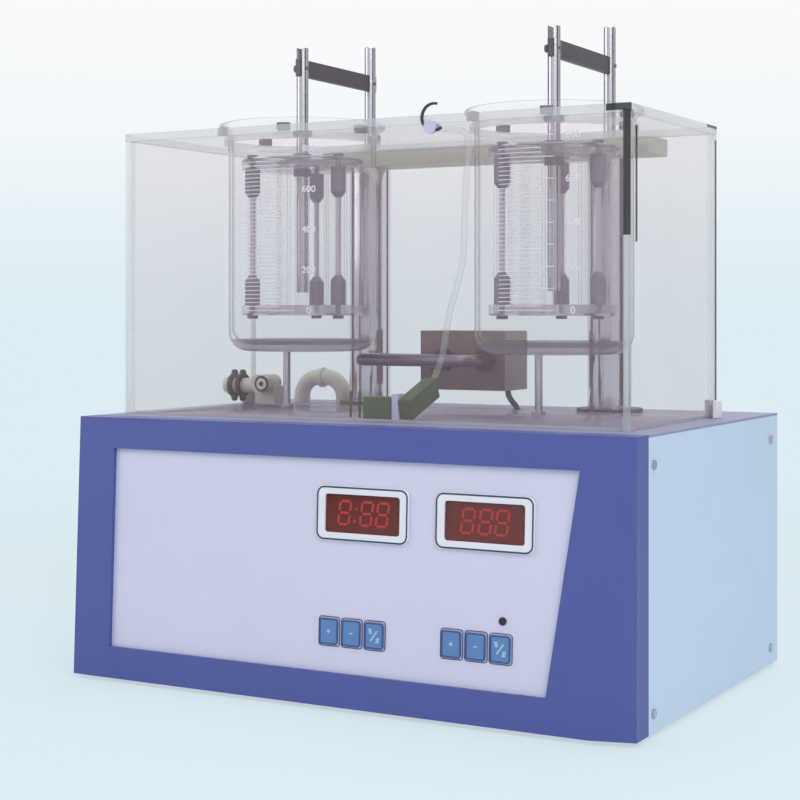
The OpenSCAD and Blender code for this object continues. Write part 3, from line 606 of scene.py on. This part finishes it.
@dataclass
class FrontPanel:
    """The blue shell with its white panel, displays, keys and lamp."""

    lean: float = 7.6 * MM
    height: float = 181 * MM
    foot: float = 3 * MM
    display_rise: float = 124.6 * MM
    time_x: float = 22.1 * MM
    temp_x: float = 109.9 * MM
    key_rise: float = 48 * MM
    key_pitch: float = 17 * MM
    digit: tuple[float, float] = (9.7 * MM, 16.7 * MM)
    digit_slant: float = 0.13
    digit_lift: float = 0.5 * MM
    rings: tuple[float, float] = (67.7 * MM, 34.7 * MM)
    stroke: float = 1.7 * MM
    figure_thick: float = 0.15 * MM
    outline_out: float = -1.1 * MM
    recess_out: float = -3.1 * MM
    point_out: float = -3.02 * MM
    point_radius: float = 1.2 * MM
    key_top_out: float = -1.72 * MM
    first_key_left: Flat = (23.4 * MM, 21.7 * MM)
    digit_places: dict[str, tuple[float, ...]] = field(
        default_factory=lambda: {
            "time": (-13.8 * MM, 2.6 * MM, 14.4 * MM),
            "temp": (-12.0 * MM, 0.2 * MM, 11.7 * MM),
        }
    )

    def seat(self, x: float, rise: float, out: float) -> Matrix:
        """Give the place of a point on the leaning panel.

        Args:
            x: The distance from the case's middle.
            rise: The distance up the panel.
            out: The distance out of its plane.

        Returns:
            The matrix that puts a flat piece there.
        """
        foot_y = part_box("front_bezel")[0].y
        tilt = math.atan(self.lean / self.height)
        turn = Matrix.Rotation(math.pi / 2 - tilt, 4, "X")
        return Matrix.Translation((0, foot_y, self.foot)) @ turn @ Matrix.Translation((x, rise, out))

    @staticmethod
    def bar(mesh: bmesh.types.BMesh, length: float, width: float, thick: float, place: Matrix) -> None:
        """Add a thin bar with pointed ends.

        Args:
            mesh: The mesh that gets the bar.
            length: Its length along X.
            width: Its width.
            thick: Its thickness.
            place: Where it lies.
        """
        part = bmesh.new()
        made = bmesh.ops.create_circle(part, cap_ends=True, segments=6, radius=1.0)
        for vert in made["verts"]:
            shoulder = length / 2 - (0 if abs(vert.co.x) > 0.9 else width / 2)
            vert.co.x = math.copysign(shoulder, vert.co.x)
            vert.co.y = math.copysign(width / 2, vert.co.y) if abs(vert.co.y) > 0.1 else 0.0
        thicken(mesh, part, thick, place)

    def figure_eight(self, mesh: bmesh.types.BMesh, x: float) -> None:
        """Add the seven bars of a lit figure.

        Args:
            mesh: The mesh that gets the bars.
            x: The figure's middle.
        """
        wide, tall = self.digit
        lean = Matrix.Identity(4)
        lean[0][1] = self.digit_slant
        base = self.seat(x, self.display_rise + self.digit_lift, self.recess_out) @ lean
        across = wide - self.stroke
        upright = tall / 2 - self.stroke * 0.6
        for level in (-1, 0, 1):
            spot = Matrix.Translation((0, level * (tall - self.stroke) / 2, 0))
            self.bar(mesh, across, self.stroke, self.figure_thick, base @ spot)
        for side in (-1, 1):
            for half in (-1, 1):
                spot = Matrix.Translation((side * across / 2, half * tall / 4, 0))
                self.bar(mesh, upright, self.stroke, self.figure_thick, base @ spot @ QUARTER)

    def displays(self) -> None:
        """Build the frames' outlines and the lit figures."""
        dress("display_frames", FRAME_SILVER, rounding=0.5 * MM)
        dress("display_windows", WINDOW_RED, rounding=0.2 * MM)
        for name, middle in (("time", self.time_x), ("temp", self.temp_x)):
            outline = bmesh.new()
            ring_plate(
                outline, *self.rings, 5.2 * MM, 1.1 * MM, self.figure_thick,
                self.seat(middle, self.display_rise, self.outline_out),
            )
            settle(outline, f"display_outline_{name}", "chassis", [OUTLINE_TEAL])
            figures = bmesh.new()
            for place in self.digit_places[name]:
                self.figure_eight(figures, middle + place)
            if name == "time":
                self.point(figures, middle - 6.4 * MM, -4.6 * MM)
                unlit = bmesh.new()
                self.point(unlit, middle - 5.0 * MM, 3.4 * MM)
                settle(unlit, "display_unlit_point", "chassis", [DIGIT_DIM])
            settle(figures, f"display_figures_{name}", "chassis", [DIGIT_RED])

    def point(self, mesh: bmesh.types.BMesh, x: float, drop: float) -> None:
        """Add a round point between two figures.

        Args:
            mesh: The mesh that gets the point.
            x: Its distance from the case's middle.
            drop: Its height over the display's middle.
        """
        bmesh.ops.create_cone(
            mesh, cap_ends=True, segments=16, radius1=self.point_radius, radius2=self.point_radius,
            depth=self.figure_thick, matrix=self.seat(x, self.display_rise + drop, self.point_out),
        )

    def keys(self) -> None:
        """Dress the key caps, and build their rims (painted shade of their edges), their marks and the
        dark rings of painted shade round them.
        """
        groups = (
            ("time", self.time_x - self.first_key_left[0]),
            ("temp", self.temp_x - self.first_key_left[1]),
        )
        for group, first in groups:
            for number, use in enumerate(("up", "down", "run")):
                node = f"key_{group}_{use}"
                dress(node, KEY_BLUE, rounding=0.5 * MM)
                x = first + number * self.key_pitch
                low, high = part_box(node)
                wide, tall = high.x - low.x, high.z - low.z
                # A dark ring round the key: painted shade in the gap.
                gap_shade = bmesh.new()
                ring_plate(
                    gap_shade, wide + 1.0 * MM, tall + 1.0 * MM, 2.3 * MM, 0.4 * MM, 0.5 * MM,
                    self.seat(x, self.key_rise, self.recess_out),
                )
                settle(gap_shade, f"key_gasket_{group}_{use}", "chassis", [GAP_SHADE_DARK])
                # A darker band on the key's top: painted shade of its edges.
                top = self.seat(x, self.key_rise, self.key_top_out)
                rim = bmesh.new()
                ring_plate(rim, wide - 1.2 * MM, tall - 1.4 * MM, 1.6 * MM, 1.1 * MM, 0.08 * MM, top)
                settle(rim, f"key_rim_{group}_{use}", f"{node}_cap", [KEY_EDGE_SHADE])
                marks = bmesh.new()
                self.mark(marks, use, top)
                settle(marks, f"key_mark_{group}_{use}", f"{node}_cap", [KEY_MARK])

    def mark(self, mesh: bmesh.types.BMesh, use: str, top: Matrix) -> None:
        """Add a key's mark: plus, minus, or start and stop.

        Args:
            mesh: The mesh that gets the mark.
            use: The key's use.
            top: The middle of the key's top.
        """
        if use in ("up", "down"):
            self.bar(mesh, 3.4 * MM, 0.9 * MM, 0.12 * MM, top)
            if use == "up":
                self.bar(mesh, 3.4 * MM, 0.9 * MM, 0.1 * MM, top @ QUARTER)
            return
        slash = top @ Matrix.Rotation(math.radians(54), 4, "Z")
        self.bar(mesh, 9.0 * MM, 1.0 * MM, 0.1 * MM, slash)
        for side in (-1, 1):
            for step in (-1, 0, 1):
                right, up = side * (2.7 + 0.3 * step) * MM, (-side * 2.8 + step * 1.2) * MM
                spot = Matrix.Translation((right, up, 0))
                self.bar(mesh, 3.2 * MM, 0.8 * MM, 0.12 * MM, top @ spot)
            spot = Matrix.Translation((side * 2.7 * MM, -side * 2.8 * MM, 0))
            self.bar(mesh, 3.4 * MM, 0.8 * MM, 0.14 * MM, top @ spot @ QUARTER)

    def build(self) -> None:
        """Dress the shell and panel and build what is on them."""
        dress("front_bezel", BLUE_SHELL, rounding=0.9 * MM)
        dress("control_panel", PANEL_FILM)
        self.displays()
        self.keys()
        dress("indicator_led", LAMP_DARK)
        coat_node("display_board", BOARD_GREEN)


@dataclass
class Drive:
    """What the case hides: motor, crank, yoke, boards, transformer and pump."""

    def build(self) -> None:
        """Give each hidden node its finish."""
        finishes = {
            "control_board": BOARD_GREEN, "transformer": IRON, "air_pump": PUMP_GREY,
            "gear_motor": ALLOY, "motor_bracket": TRAY_ZINC, "crank_disc": STEEL,
            "crank_roller": ROLLER_CREAM, "lift_yoke": ALLOY,
        }
        for node, coat in finishes.items():
            dress(node, coat, rounding=0.3 * MM)


@dataclass
class Lift:
    """The columns, beam, rods and arms above the deck."""

    def build(self) -> None:
        """Dress the lift."""
        for side in ("left", "right"):
            dress(f"column_{side}", CHROME)
        dress("column_flanges", BLACK_MOULDING, rounding=0.4 * MM)
        dress("tie_beam", PALE_GREEN, rounding=0.6 * MM)
        dress("guide_bushes", BRASS)
        dress("lifting_rods", STEEL)
        dress("hanger_rods", STEEL)
        dress("lift_arms", DARK_ARM, rounding=0.4 * MM)
        dress("carriage_fasteners", SLEEVE_GREY, rounding=0.3 * MM)


@dataclass
class Baskets:
    """The tube baskets under the hanging rods."""

    outer: float = 12.5 * MM
    wall: float = 2.0 * MM
    circle: float = 29.5 * MM
    angles: tuple[int, ...] = (-104, -44, 16, 76, 136, 196)

    def tubes(self, side: str) -> None:
        """Build one basket's glass tubes, with fire-polished ends.

        Args:
            side: The basket's side.
        """
        low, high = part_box(f"tubes_{side}")
        middle = basket_axis(side)
        length = high.z - low.z
        inner, lip = self.outer - self.wall, self.wall / 2
        outline = [
            *arc((self.outer - lip, lip), lip, -180, 0, 4),
            *arc((self.outer - lip, length - lip), lip, 0, 180, 4),
        ]
        outline = [(max(radius, inner), height) for radius, height in outline]
        whole = bmesh.new()
        for angle in self.angles:
            turn = math.radians(angle)
            foot = middle + self.circle * Vector((math.cos(turn), math.sin(turn)))
            merge(whole, lathe(outline, (foot.x, foot.y, low.z), 40))
        shade_smooth(whole, 60)
        settle(whole, f"glass_tubes_{side}", "carriage", [TUBE_GLASS], [f"tubes_{side}"])

    def build(self) -> None:
        """Build both baskets."""
        for side in ("left", "right"):
            self.tubes(side)
        dress("top_discs", STEEL)
        dress("upper_plates", PLATE_CLEAR)
        dress("lower_plates", PLATE_CLEAR)
        low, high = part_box("tie_posts")
        bare_from, bare_to = low.z + 34 * MM, high.z - 33 * MM
        dress(
            "tie_posts", SLEEVE_GREY, POST_ROD,
            choose=lambda face: int(bare_from < face.calc_center_median().z < bare_to),
        )
        coat_node("mesh_screens", STEEL)


def basket_axis(side: str) -> Vector:
    """Return the middle of a beaker and its basket, seen from above."""
    low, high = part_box(f"beaker_{side}")
    return ((low + high) / 2).xy


@dataclass
class Beakers:
    """The graduated glass beakers."""

    radius: float = 55 * MM
    wall: float = 2.5 * MM
    floor: float = 5 * MM
    foot_round: float = 14 * MM
    heel_round: float = 12 * MM
    base_height: float = 9 * MM
    lip: tuple[Flat, ...] = (
        (55, 148), (55.8, 158), (57, 162), (59, 164), (61.4, 164.7), (62, 165.6), (61.8, 167.2),
        (61, 168), (59.4, 167.8), (57.2, 166), (55, 162.6), (53.4, 158.6), (52.5, 147),
    )
    scale_foot: float = 259 * MM
    mark_pitch: float = 2.9 * MM
    mark_width: float = 0.5 * MM
    mark_count: int = 41
    marks_to_long: int = 5
    last_short: int = 37
    number_pitch: float = 29 * MM
    number_angle: float = -53.0
    mark_angles: tuple[float, float, float] = (-108.0, -75.0, -66.0)

    def outline(self) -> list[Flat]:
        """Give the glass's half outline, from under its foot round to the middle of its floor."""
        outer, inner = self.foot_round, self.heel_round
        foot = arc((self.radius - outer, outer), outer, -90, 0, 8)
        heel = arc((self.radius - self.wall - inner, self.floor + inner), inner, 0, -90, 8)
        lip = [(radius * MM, height * MM) for radius, height in self.lip]
        return [(0.0, 0.0), *foot, *lip, *heel, (0.0, self.floor)]

    def wrap(
        self, mesh: bmesh.types.BMesh, centre: Vector, angle: float, height: float, proud: float
    ) -> None:
        """Bend a flat piece round the glass.

        Args:
            mesh: The flat piece, drawn in X and Y about its middle.
            centre: The beaker's middle.
            angle: The angle, in degrees, that the piece's middle gets.
            height: The height that the piece's middle gets.
            proud: The distance of its lowest side from the glass.
        """
        for vert in mesh.verts:
            turn = math.radians(angle) + vert.co.x / self.radius
            reach = self.radius + proud + vert.co.z
            flat = centre + reach * Vector((math.cos(turn), math.sin(turn)))
            vert.co = (flat.x, flat.y, height + vert.co.y)

    def strip(self, length: float, width: float) -> bmesh.types.BMesh:
        """Make a flat printed line.

        Args:
            length: Its length.
            width: Its width.

        Returns:
            The flat mesh.
        """
        part = bmesh.new()
        block(part, (-length / 2, -width / 2, 0), (length / 2, width / 2, 0.06 * MM))
        long_edges = [e for e in part.edges if abs((e.verts[0].co - e.verts[1].co).x) > length / 2]
        bmesh.ops.subdivide_edges(part, edges=long_edges, cuts=12, use_grid_fill=True)
        return part

    def numeral(self, number: int) -> bmesh.types.BMesh:
        """Make a flat printed number.

        Args:
            number: The number.

        Returns:
            The flat mesh.
        """
        curve = bpy.data.curves.new("numeral", "FONT")
        curve.body = str(number)
        curve.size = 6.6 * MM
        curve.align_x = "CENTER"
        curve.align_y = "CENTER"
        curve.extrude = 0.03 * MM
        curve.offset = 0.12 * MM
        holder = bpy.data.objects.new("numeral", curve)
        bpy.context.scene.collection.objects.link(holder)
        depsgraph = bpy.context.evaluated_depsgraph_get()
        data = bpy.data.meshes.new_from_object(holder.evaluated_get(depsgraph))
        part = bmesh.new()
        part.from_mesh(data)
        bpy.data.objects.remove(holder)
        bpy.data.curves.remove(curve)
        bpy.data.meshes.remove(data)
        return part

    def scale(self, side: str) -> None:
        """Print the scale of one beaker.

        Args:
            side: The beaker's side.
        """
        centre = basket_axis(side)
        print_mesh = bmesh.new()
        start, short_end, long_end = self.mark_angles
        for step in range(self.mark_count):
            short = step % self.marks_to_long > 0
            if short and step > self.last_short:
                continue
            end = short_end if short else long_end
            length = math.radians(end - start) * self.radius
            part = self.strip(length, self.mark_width)
            height = self.scale_foot + step * self.mark_pitch
            self.wrap(part, centre, (start + end) / 2, height, 0.08 * MM)
            merge(print_mesh, part)
        for step, number in enumerate((0, 200, 400, 600, 800)):
            part = self.numeral(number)
            height = self.scale_foot + step * self.number_pitch
            self.wrap(part, centre, self.number_angle, height, 0.12 * MM)
            merge(print_mesh, part)
        settle(print_mesh, f"printed_scale_{side}", "chassis", [SCALE_WHITE])

    def build(self) -> None:
        """Build both beakers."""
        for side in ("left", "right"):
            centre = basket_axis(side)
            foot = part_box(f"beaker_{side}")[0].z
            glass = lathe(self.outline(), (centre.x, centre.y, foot), 96)
            shade_smooth(glass, 60)
            for face in glass.faces:
                face.material_index = int(face.calc_center_median().z < foot + self.base_height)
            settle(
                glass, f"glass_beaker_{side}", "chassis", [BEAKER_GLASS, BASE_GLASS],
                [f"beaker_{side}"],
            )
            self.scale(side)
        dress("beaker_lugs", SLEEVE_GREY, rounding=0.5 * MM)


@dataclass
class WaterBath:
    """The clear tank of glued sheets, its cover and the white corner blocks."""

    sheet: float = 5 * MM
    floor: float = 2 * MM

    def edge_coat(self) -> Clear:
        """Give the finish of the cut edges, with painted shade at the corner that the photograph shows
        dark.
        """
        low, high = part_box("tank")
        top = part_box("tank_cover")[1].z
        far = 1.0
        # Boxes of painted shade: up the front right corner, down the right sheet's rear edge, and along
        # the top edges there.
        upright = ((high.x - 5 * MM, low.y - MM, 0.306), (far, low.y + MM, far))
        rear = ((high.x - MM, high.y - 1.6 * MM, 0.19), (far, far, top - 10 * MM))
        front = ((high.x - 16 * MM, low.y - MM, top - 4 * MM), (far, low.y + MM, far))
        side = ((high.x - MM, high.y - 20 * MM, top - 1.5 * MM), (far, far, far))
        return Clear(
            "sheet_edge", paint(206, 210, 212), paint(150, 154, 158), 0.5, 0.75, 0.15,
            patches=(upright, rear, front, side),
            patch_edge=1 * MM,
        )

    def build(self) -> None:
        """Build the sheets and dress the cover and blocks."""
        low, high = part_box("tank")
        wall, top = self.sheet, high.z
        edge = self.edge_coat()
        rear_y = high.y - wall
        sheets = {
            "left": ((low.x, low.y, low.z), (low.x + wall, high.y, top), 0),
            "right": ((high.x - wall, low.y, low.z), (high.x, high.y, top), 0),
            "front": ((low.x + wall, low.y, low.z), (high.x - wall, low.y + wall, top), 1),
            "rear": ((low.x + wall, rear_y, low.z), (high.x - wall, high.y, top), 1),
            "floor": ((low.x + wall, low.y + wall, low.z), (high.x - wall, rear_y, low.z + self.floor), 2),
        }
        tank = bmesh.new()
        for corner, opposite, thin in sheets.values():
            for face in block(tank, corner, opposite, 0.25 * MM):
                face.material_index = int(abs(face.normal[thin]) < 0.7)
        shade_smooth(tank)
        # A strip of painted shade on the right sheet near its front edge.
        painted_shade_strip = ((high.x - MM, low.y + 8 * MM, 0.302), (1.0, low.y + 11 * MM, 0.374))
        sheet = replace(SHEET_CLEAR, name="tank_sheet", patches=(painted_shade_strip,), patch_edge=0.6 * MM)
        settle(tank, "tank_sheets", "chassis", [sheet, edge], ["tank"])
        dress("tank_cover", SHEET_CLEAR, edge, choose=lambda face: int(abs(face.normal.z) < 0.7))
        dress("corner_blocks", BLOCK_WHITE, rounding=0.6 * MM)
        dress("beaker_posts", STEEL)


@dataclass
class Heater:
    """The immersed heater and its box behind the tank."""

    def build(self) -> None:
        """Dress the heater."""
        dress("heater_tube", HEATER_GREY)
        dress("heater_nuts", BLACK_MOULDING, rounding=0.3 * MM)
        # The sides take the lit copy (painted light), the other faces the shaded copy (painted shade).
        dress(
            "junction_box", BOX_SHADED_FRONT, BOX_LIT_SIDE, rounding=0.6 * MM,
            choose=lambda face: int(abs(face.normal.x) > 0.7),
        )
        dress("junction_lid", PALE_GREEN, rounding=0.4 * MM)
        dress("heater_cable", CABLE_BLACK)


@dataclass
class Plumbing:
    """The drain, the return pipe, the air line and the stone."""

    hose_radius: float = 2.1 * MM
    deck: float = 184 * MM
    shift_y: float = 2.3 * MM
    clip_disc: Flat = (51.3 * MM, 379 * MM)
    clip_disc_radius: float = 4.9 * MM
    valve_steps: tuple[Flat, ...] = ((6.4 * MM, 0.5 * MM), (4.4 * MM, 0.8 * MM), (2.0 * MM, 1.1 * MM))
    hose_route: tuple[Point, ...] = (
        (50.5, -92.6, 195.4), (50.8, -89.5, 195.4), (53.4, -83.5, 195.4), (57.4, -76, 195.4),
        (60, -69.5, 194.2), (60.4, -65, 190), (59.4, -62, 183.9), (57.8, -60.8, 175.4),
        (55.9, -60, 158), (55, -60, 138), (54.4, -60, 120), (53.4, -60, 108), (50.6, -60, 96),
        (46.6, -59.6, 84), (42.6, -58.6, 72), (39.4, -57, 60), (36.4, -55, 49),
        (33, -53, 40), (29.6, -51.5, 33.5), (27.2, -52.6, 27.4), (26.9, -55.4, 24),
    )

    def hose(self) -> None:
        """Build the clear air hose on the route that the part's source gives."""
        curve = bpy.data.curves.new("air_hose_line", "CURVE")
        curve.dimensions = "3D"
        curve.bevel_depth = self.hose_radius
        curve.bevel_resolution = 4
        curve.resolution_u = 4
        curve.use_fill_caps = True
        line = curve.splines.new("BEZIER")
        line.bezier_points.add(len(self.hose_route) - 1)
        for knot, (x, y, z) in zip(line.bezier_points, self.hose_route):
            knot.co = (x * MM, y * MM + self.shift_y, z * MM + self.deck)
            knot.handle_left_type = knot.handle_right_type = "AUTO"
        piece = bpy.data.objects.new("air_hose_clear", curve)
        bpy.context.scene.collection.objects.link(piece)
        curve.materials.append(HOSE_CLEAR.material())
        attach(piece, "chassis")
        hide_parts("air_hose")
        log.info("piece air_hose_clear on chassis")

    def clips(self) -> None:
        """Dress the clips: a dark hook, and a pale disc and blocks."""
        front_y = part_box("tank")[0].y
        disc = Vector(self.clip_disc)

        def hook(face: bmesh.types.BMFace) -> int:
            """Tell the hook's faces from the others."""
            middle = face.calc_center_median()
            outside = middle.y < front_y and middle.z > 0.3
            return int(outside and (middle.xz - disc).length > self.clip_disc_radius)

        dress("hose_clips", DISC_BLUE, HOOK_DARK, rounding=0.4 * MM, choose=hook)

    def valve_rings(self) -> None:
        """Build the ringed disc on the front of the drain's barrel."""
        low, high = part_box("drain_valve")
        x = high.x - 7 * MM
        z = self.deck + 17.6 * MM
        turn = Matrix.Translation((x, low.y, z)) @ Matrix.Rotation(math.pi / 2, 4, "X")
        mesh = bmesh.new()
        for number, (radius, height) in enumerate(self.valve_steps):
            place = turn @ Matrix.Translation((0, 0, height / 2))
            before = set(mesh.faces)
            bmesh.ops.create_cone(
                mesh, cap_ends=True, segments=32, radius1=radius, radius2=radius, depth=height,
                matrix=place,
            )
            for face in mesh.faces:
                if face not in before:
                    face.material_index = number % 2
        shade_smooth(mesh)
        settle(mesh, "valve_rings", "chassis", [BLACK_MOULDING, BLOCK_WHITE])

    def build(self) -> None:
        """Dress the pipes and build the hose and the rings."""
        dress("drain_valve", PIPE_GREEN, rounding=0.3 * MM)
        dress("drain_clamp", CLAMP_DARK, rounding=0.3 * MM)
        dress("return_pipe", PIPE_GREEN)
        self.clips()
        dress("air_stone", STONE_GREEN, rounding=0.6 * MM)
        self.hose()
        self.valve_rings()


@dataclass
class Studio:
    """The camera, the pale floor and the soft light."""

    place: Point = (0.58376, -1.09239, 0.2581)
    turn: float = 29.22
    lens: float = 77.38
    shift: float = -0.1103
    white: Colour = paint(250, 251, 252)
    pale: Colour = paint(222, 237, 243)
    transparent_steps: int = 48
    floor_reach: float = 60.0
    card_grey: float = 0.02

    def camera(self) -> None:
        """Set the camera where the photograph was taken."""
        data = bpy.data.cameras.new("camera")
        data.lens = self.lens
        data.sensor_width = 36.0
        data.shift_y = self.shift
        data.clip_start = 0.05
        camera = bpy.data.objects.new("camera", data)
        camera.location = self.place
        camera.rotation_euler = (math.pi / 2, 0, math.radians(self.turn))
        bpy.context.scene.collection.objects.link(camera)
        bpy.context.scene.camera = camera

    def lamp(self, name: str, place: Point, size: float, watts: float) -> None:
        """Hang a soft square lamp that faces the object.

        Args:
            name: The lamp's name.
            place: Where it hangs.
            size: Its side.
            watts: Its power.
        """
        data = bpy.data.lights.new(name, "AREA")
        data.size = size
        data.energy = watts
        lamp = bpy.data.objects.new(name, data)
        lamp.location = place
        aim = Vector((0, 0, 0.2)) - Vector(place)
        lamp.rotation_euler = aim.to_track_quat("-Z", "Y").to_euler()
        bpy.context.scene.collection.objects.link(lamp)

    def world(self) -> None:
        """Make the plain light from all round and the pale background."""
        world = bpy.data.worlds.new("studio")
        bpy.context.scene.world = world
        world.use_nodes = True
        nodes, links = world.node_tree.nodes, world.node_tree.links
        nodes.clear()
        out = nodes.new("ShaderNodeOutputWorld")
        light = nodes.new("ShaderNodeBackground")
        light.inputs["Color"].default_value = (0.95, 0.97, 1.0, 1)
        light.inputs["Strength"].default_value = 0.44
        back = nodes.new("ShaderNodeBackground")
        back.inputs["Strength"].default_value = 1.0
        place = nodes.new("ShaderNodeTexCoord")
        split = nodes.new("ShaderNodeSeparateXYZ")
        links.new(place.outputs["Generated"], split.inputs["Vector"])
        height = nodes.new("ShaderNodeMapRange")
        height.interpolation_type = "SMOOTHSTEP"
        height.inputs["From Min"].default_value = -0.01
        height.inputs["From Max"].default_value = 0.17
        links.new(split.outputs["Z"], height.inputs["Value"])
        tone = nodes.new("ShaderNodeMix")
        tone.data_type = "RGBA"
        tone.inputs["A"].default_value = (*self.pale, 1)
        tone.inputs["B"].default_value = (*self.white, 1)
        links.new(height.outputs["Result"], tone.inputs["Factor"])
        links.new(tone.outputs["Result"], back.inputs["Color"])
        mix = nodes.new("ShaderNodeMixShader")
        links.new(self.seen(world.node_tree), mix.inputs["Fac"])
        links.new(light.outputs["Background"], mix.inputs[1])
        links.new(back.outputs["Background"], mix.inputs[2])
        links.new(mix.outputs["Shader"], out.inputs["Surface"])

    @staticmethod
    def seen(tree: bpy.types.NodeTree) -> bpy.types.NodeSocket:
        """Make nodes that give 1 to camera, glossy and transmission rays.

        Args:
            tree: The node tree that gets them.

        Returns:
            The socket that holds the number.
        """
        path = tree.nodes.new("ShaderNodeLightPath")
        total = None
        for kind in ("Is Camera Ray", "Is Glossy Ray", "Is Transmission Ray"):
            total = combine(tree, total, path.outputs[kind], "MAXIMUM")
        return total

    def floor(self) -> None:
        """Lay the pale floor, which keeps a faint shadow."""
        mesh = bmesh.new()
        bmesh.ops.create_grid(mesh, x_segments=1, y_segments=1, size=self.floor_reach)
        made = bpy.data.materials.new("floor_pale")
        made.use_nodes = True
        nodes, links = made.node_tree.nodes, made.node_tree.links
        shader = nodes["Principled BSDF"]
        shader.inputs["Base Color"].default_value = (*paint(226, 238, 243), 1)
        shader.inputs["Roughness"].default_value = 0.9
        glow = nodes.new("ShaderNodeEmission")
        glow.inputs["Color"].default_value = (*self.pale, 1)
        place = nodes.new("ShaderNodeTexCoord")
        reach = nodes.new("ShaderNodeVectorMath")
        reach.operation = "LENGTH"
        links.new(place.outputs["Object"], reach.inputs[0])
        fade = nodes.new("ShaderNodeMapRange")
        fade.interpolation_type = "SMOOTHSTEP"
        fade.inputs["From Min"].default_value = 0.3
        fade.inputs["From Max"].default_value = 1.6
        fade.inputs["To Min"].default_value = 0.7
        links.new(reach.outputs["Value"], fade.inputs["Value"])
        share = combine(made.node_tree, self.seen(made.node_tree), fade.outputs["Result"], "MULTIPLY")
        mix = nodes.new("ShaderNodeMixShader")
        links.new(share, mix.inputs["Fac"])
        links.new(shader.outputs["BSDF"], mix.inputs[1])
        links.new(glow.outputs["Emission"], mix.inputs[2])
        links.new(mix.outputs["Shader"], nodes["Material Output"].inputs["Surface"])
        stand(mesh, "floor", [made])

    def card(self, name: str, low: Point, high: Point) -> None:
        """Stand a dark card that only shows in reflections.

        Args:
            name: The card's name.
            low: Its lowest corner.
            high: Its highest corner.
        """
        mesh = bmesh.new()
        block(mesh, low, high)
        made = bpy.data.materials.new(name)
        made.use_nodes = True
        shader = made.node_tree.nodes["Principled BSDF"]
        shader.inputs["Base Color"].default_value = (*[self.card_grey] * 3, 1)
        shader.inputs["Roughness"].default_value = 1.0
        piece = stand(mesh, name, [made])
        for kind in ("camera", "diffuse", "transmission", "shadow"):
            setattr(piece, f"visible_{kind}", False)

    def build(self) -> None:
        """Set up the studio."""
        bpy.context.scene.view_settings.view_transform = "Standard"
        bpy.context.scene.cycles.transparent_max_bounces = self.transparent_steps
        self.world()
        self.floor()
        self.lamp("key_lamp", (1.4, -1.3, 1.5), 1.2, 21)
        self.lamp("fill_lamp", (-1.5, -1.2, 1.0), 1.4, 9.5)
        self.lamp("top_lamp", (0.1, 0.4, 1.9), 1.3, 11)
        self.card("dark_card_left", (-1.6, -2.2, 0), (-1.1, -2.1, 1.6))
        self.card("dark_card_right", (1.9, -0.4, 0), (2.0, 0.4, 1.4))
        self.card("dark_card_rear", (0.9, 1.75, 0), (1.6, 1.85, 1.5))
        self.card("dark_card_side", (-2.25, -0.6, 0), (-2.15, 0.3, 1.5))


def main() -> None:
    """Build the studio and every sub-assembly, in order."""
    logging.basicConfig(level=logging.INFO, format="%(name)s: %(message)s")
    Studio().camera()
    for assembly in (
        Cabinet(), FrontPanel(), Drive(), Lift(), Baskets(), Beakers(), WaterBath(), Heater(), Plumbing(),
    ):
        log.info("building %s", type(assembly).__name__)
        assembly.build()
    Studio().build()


if __name__ == "__main__":
    main()
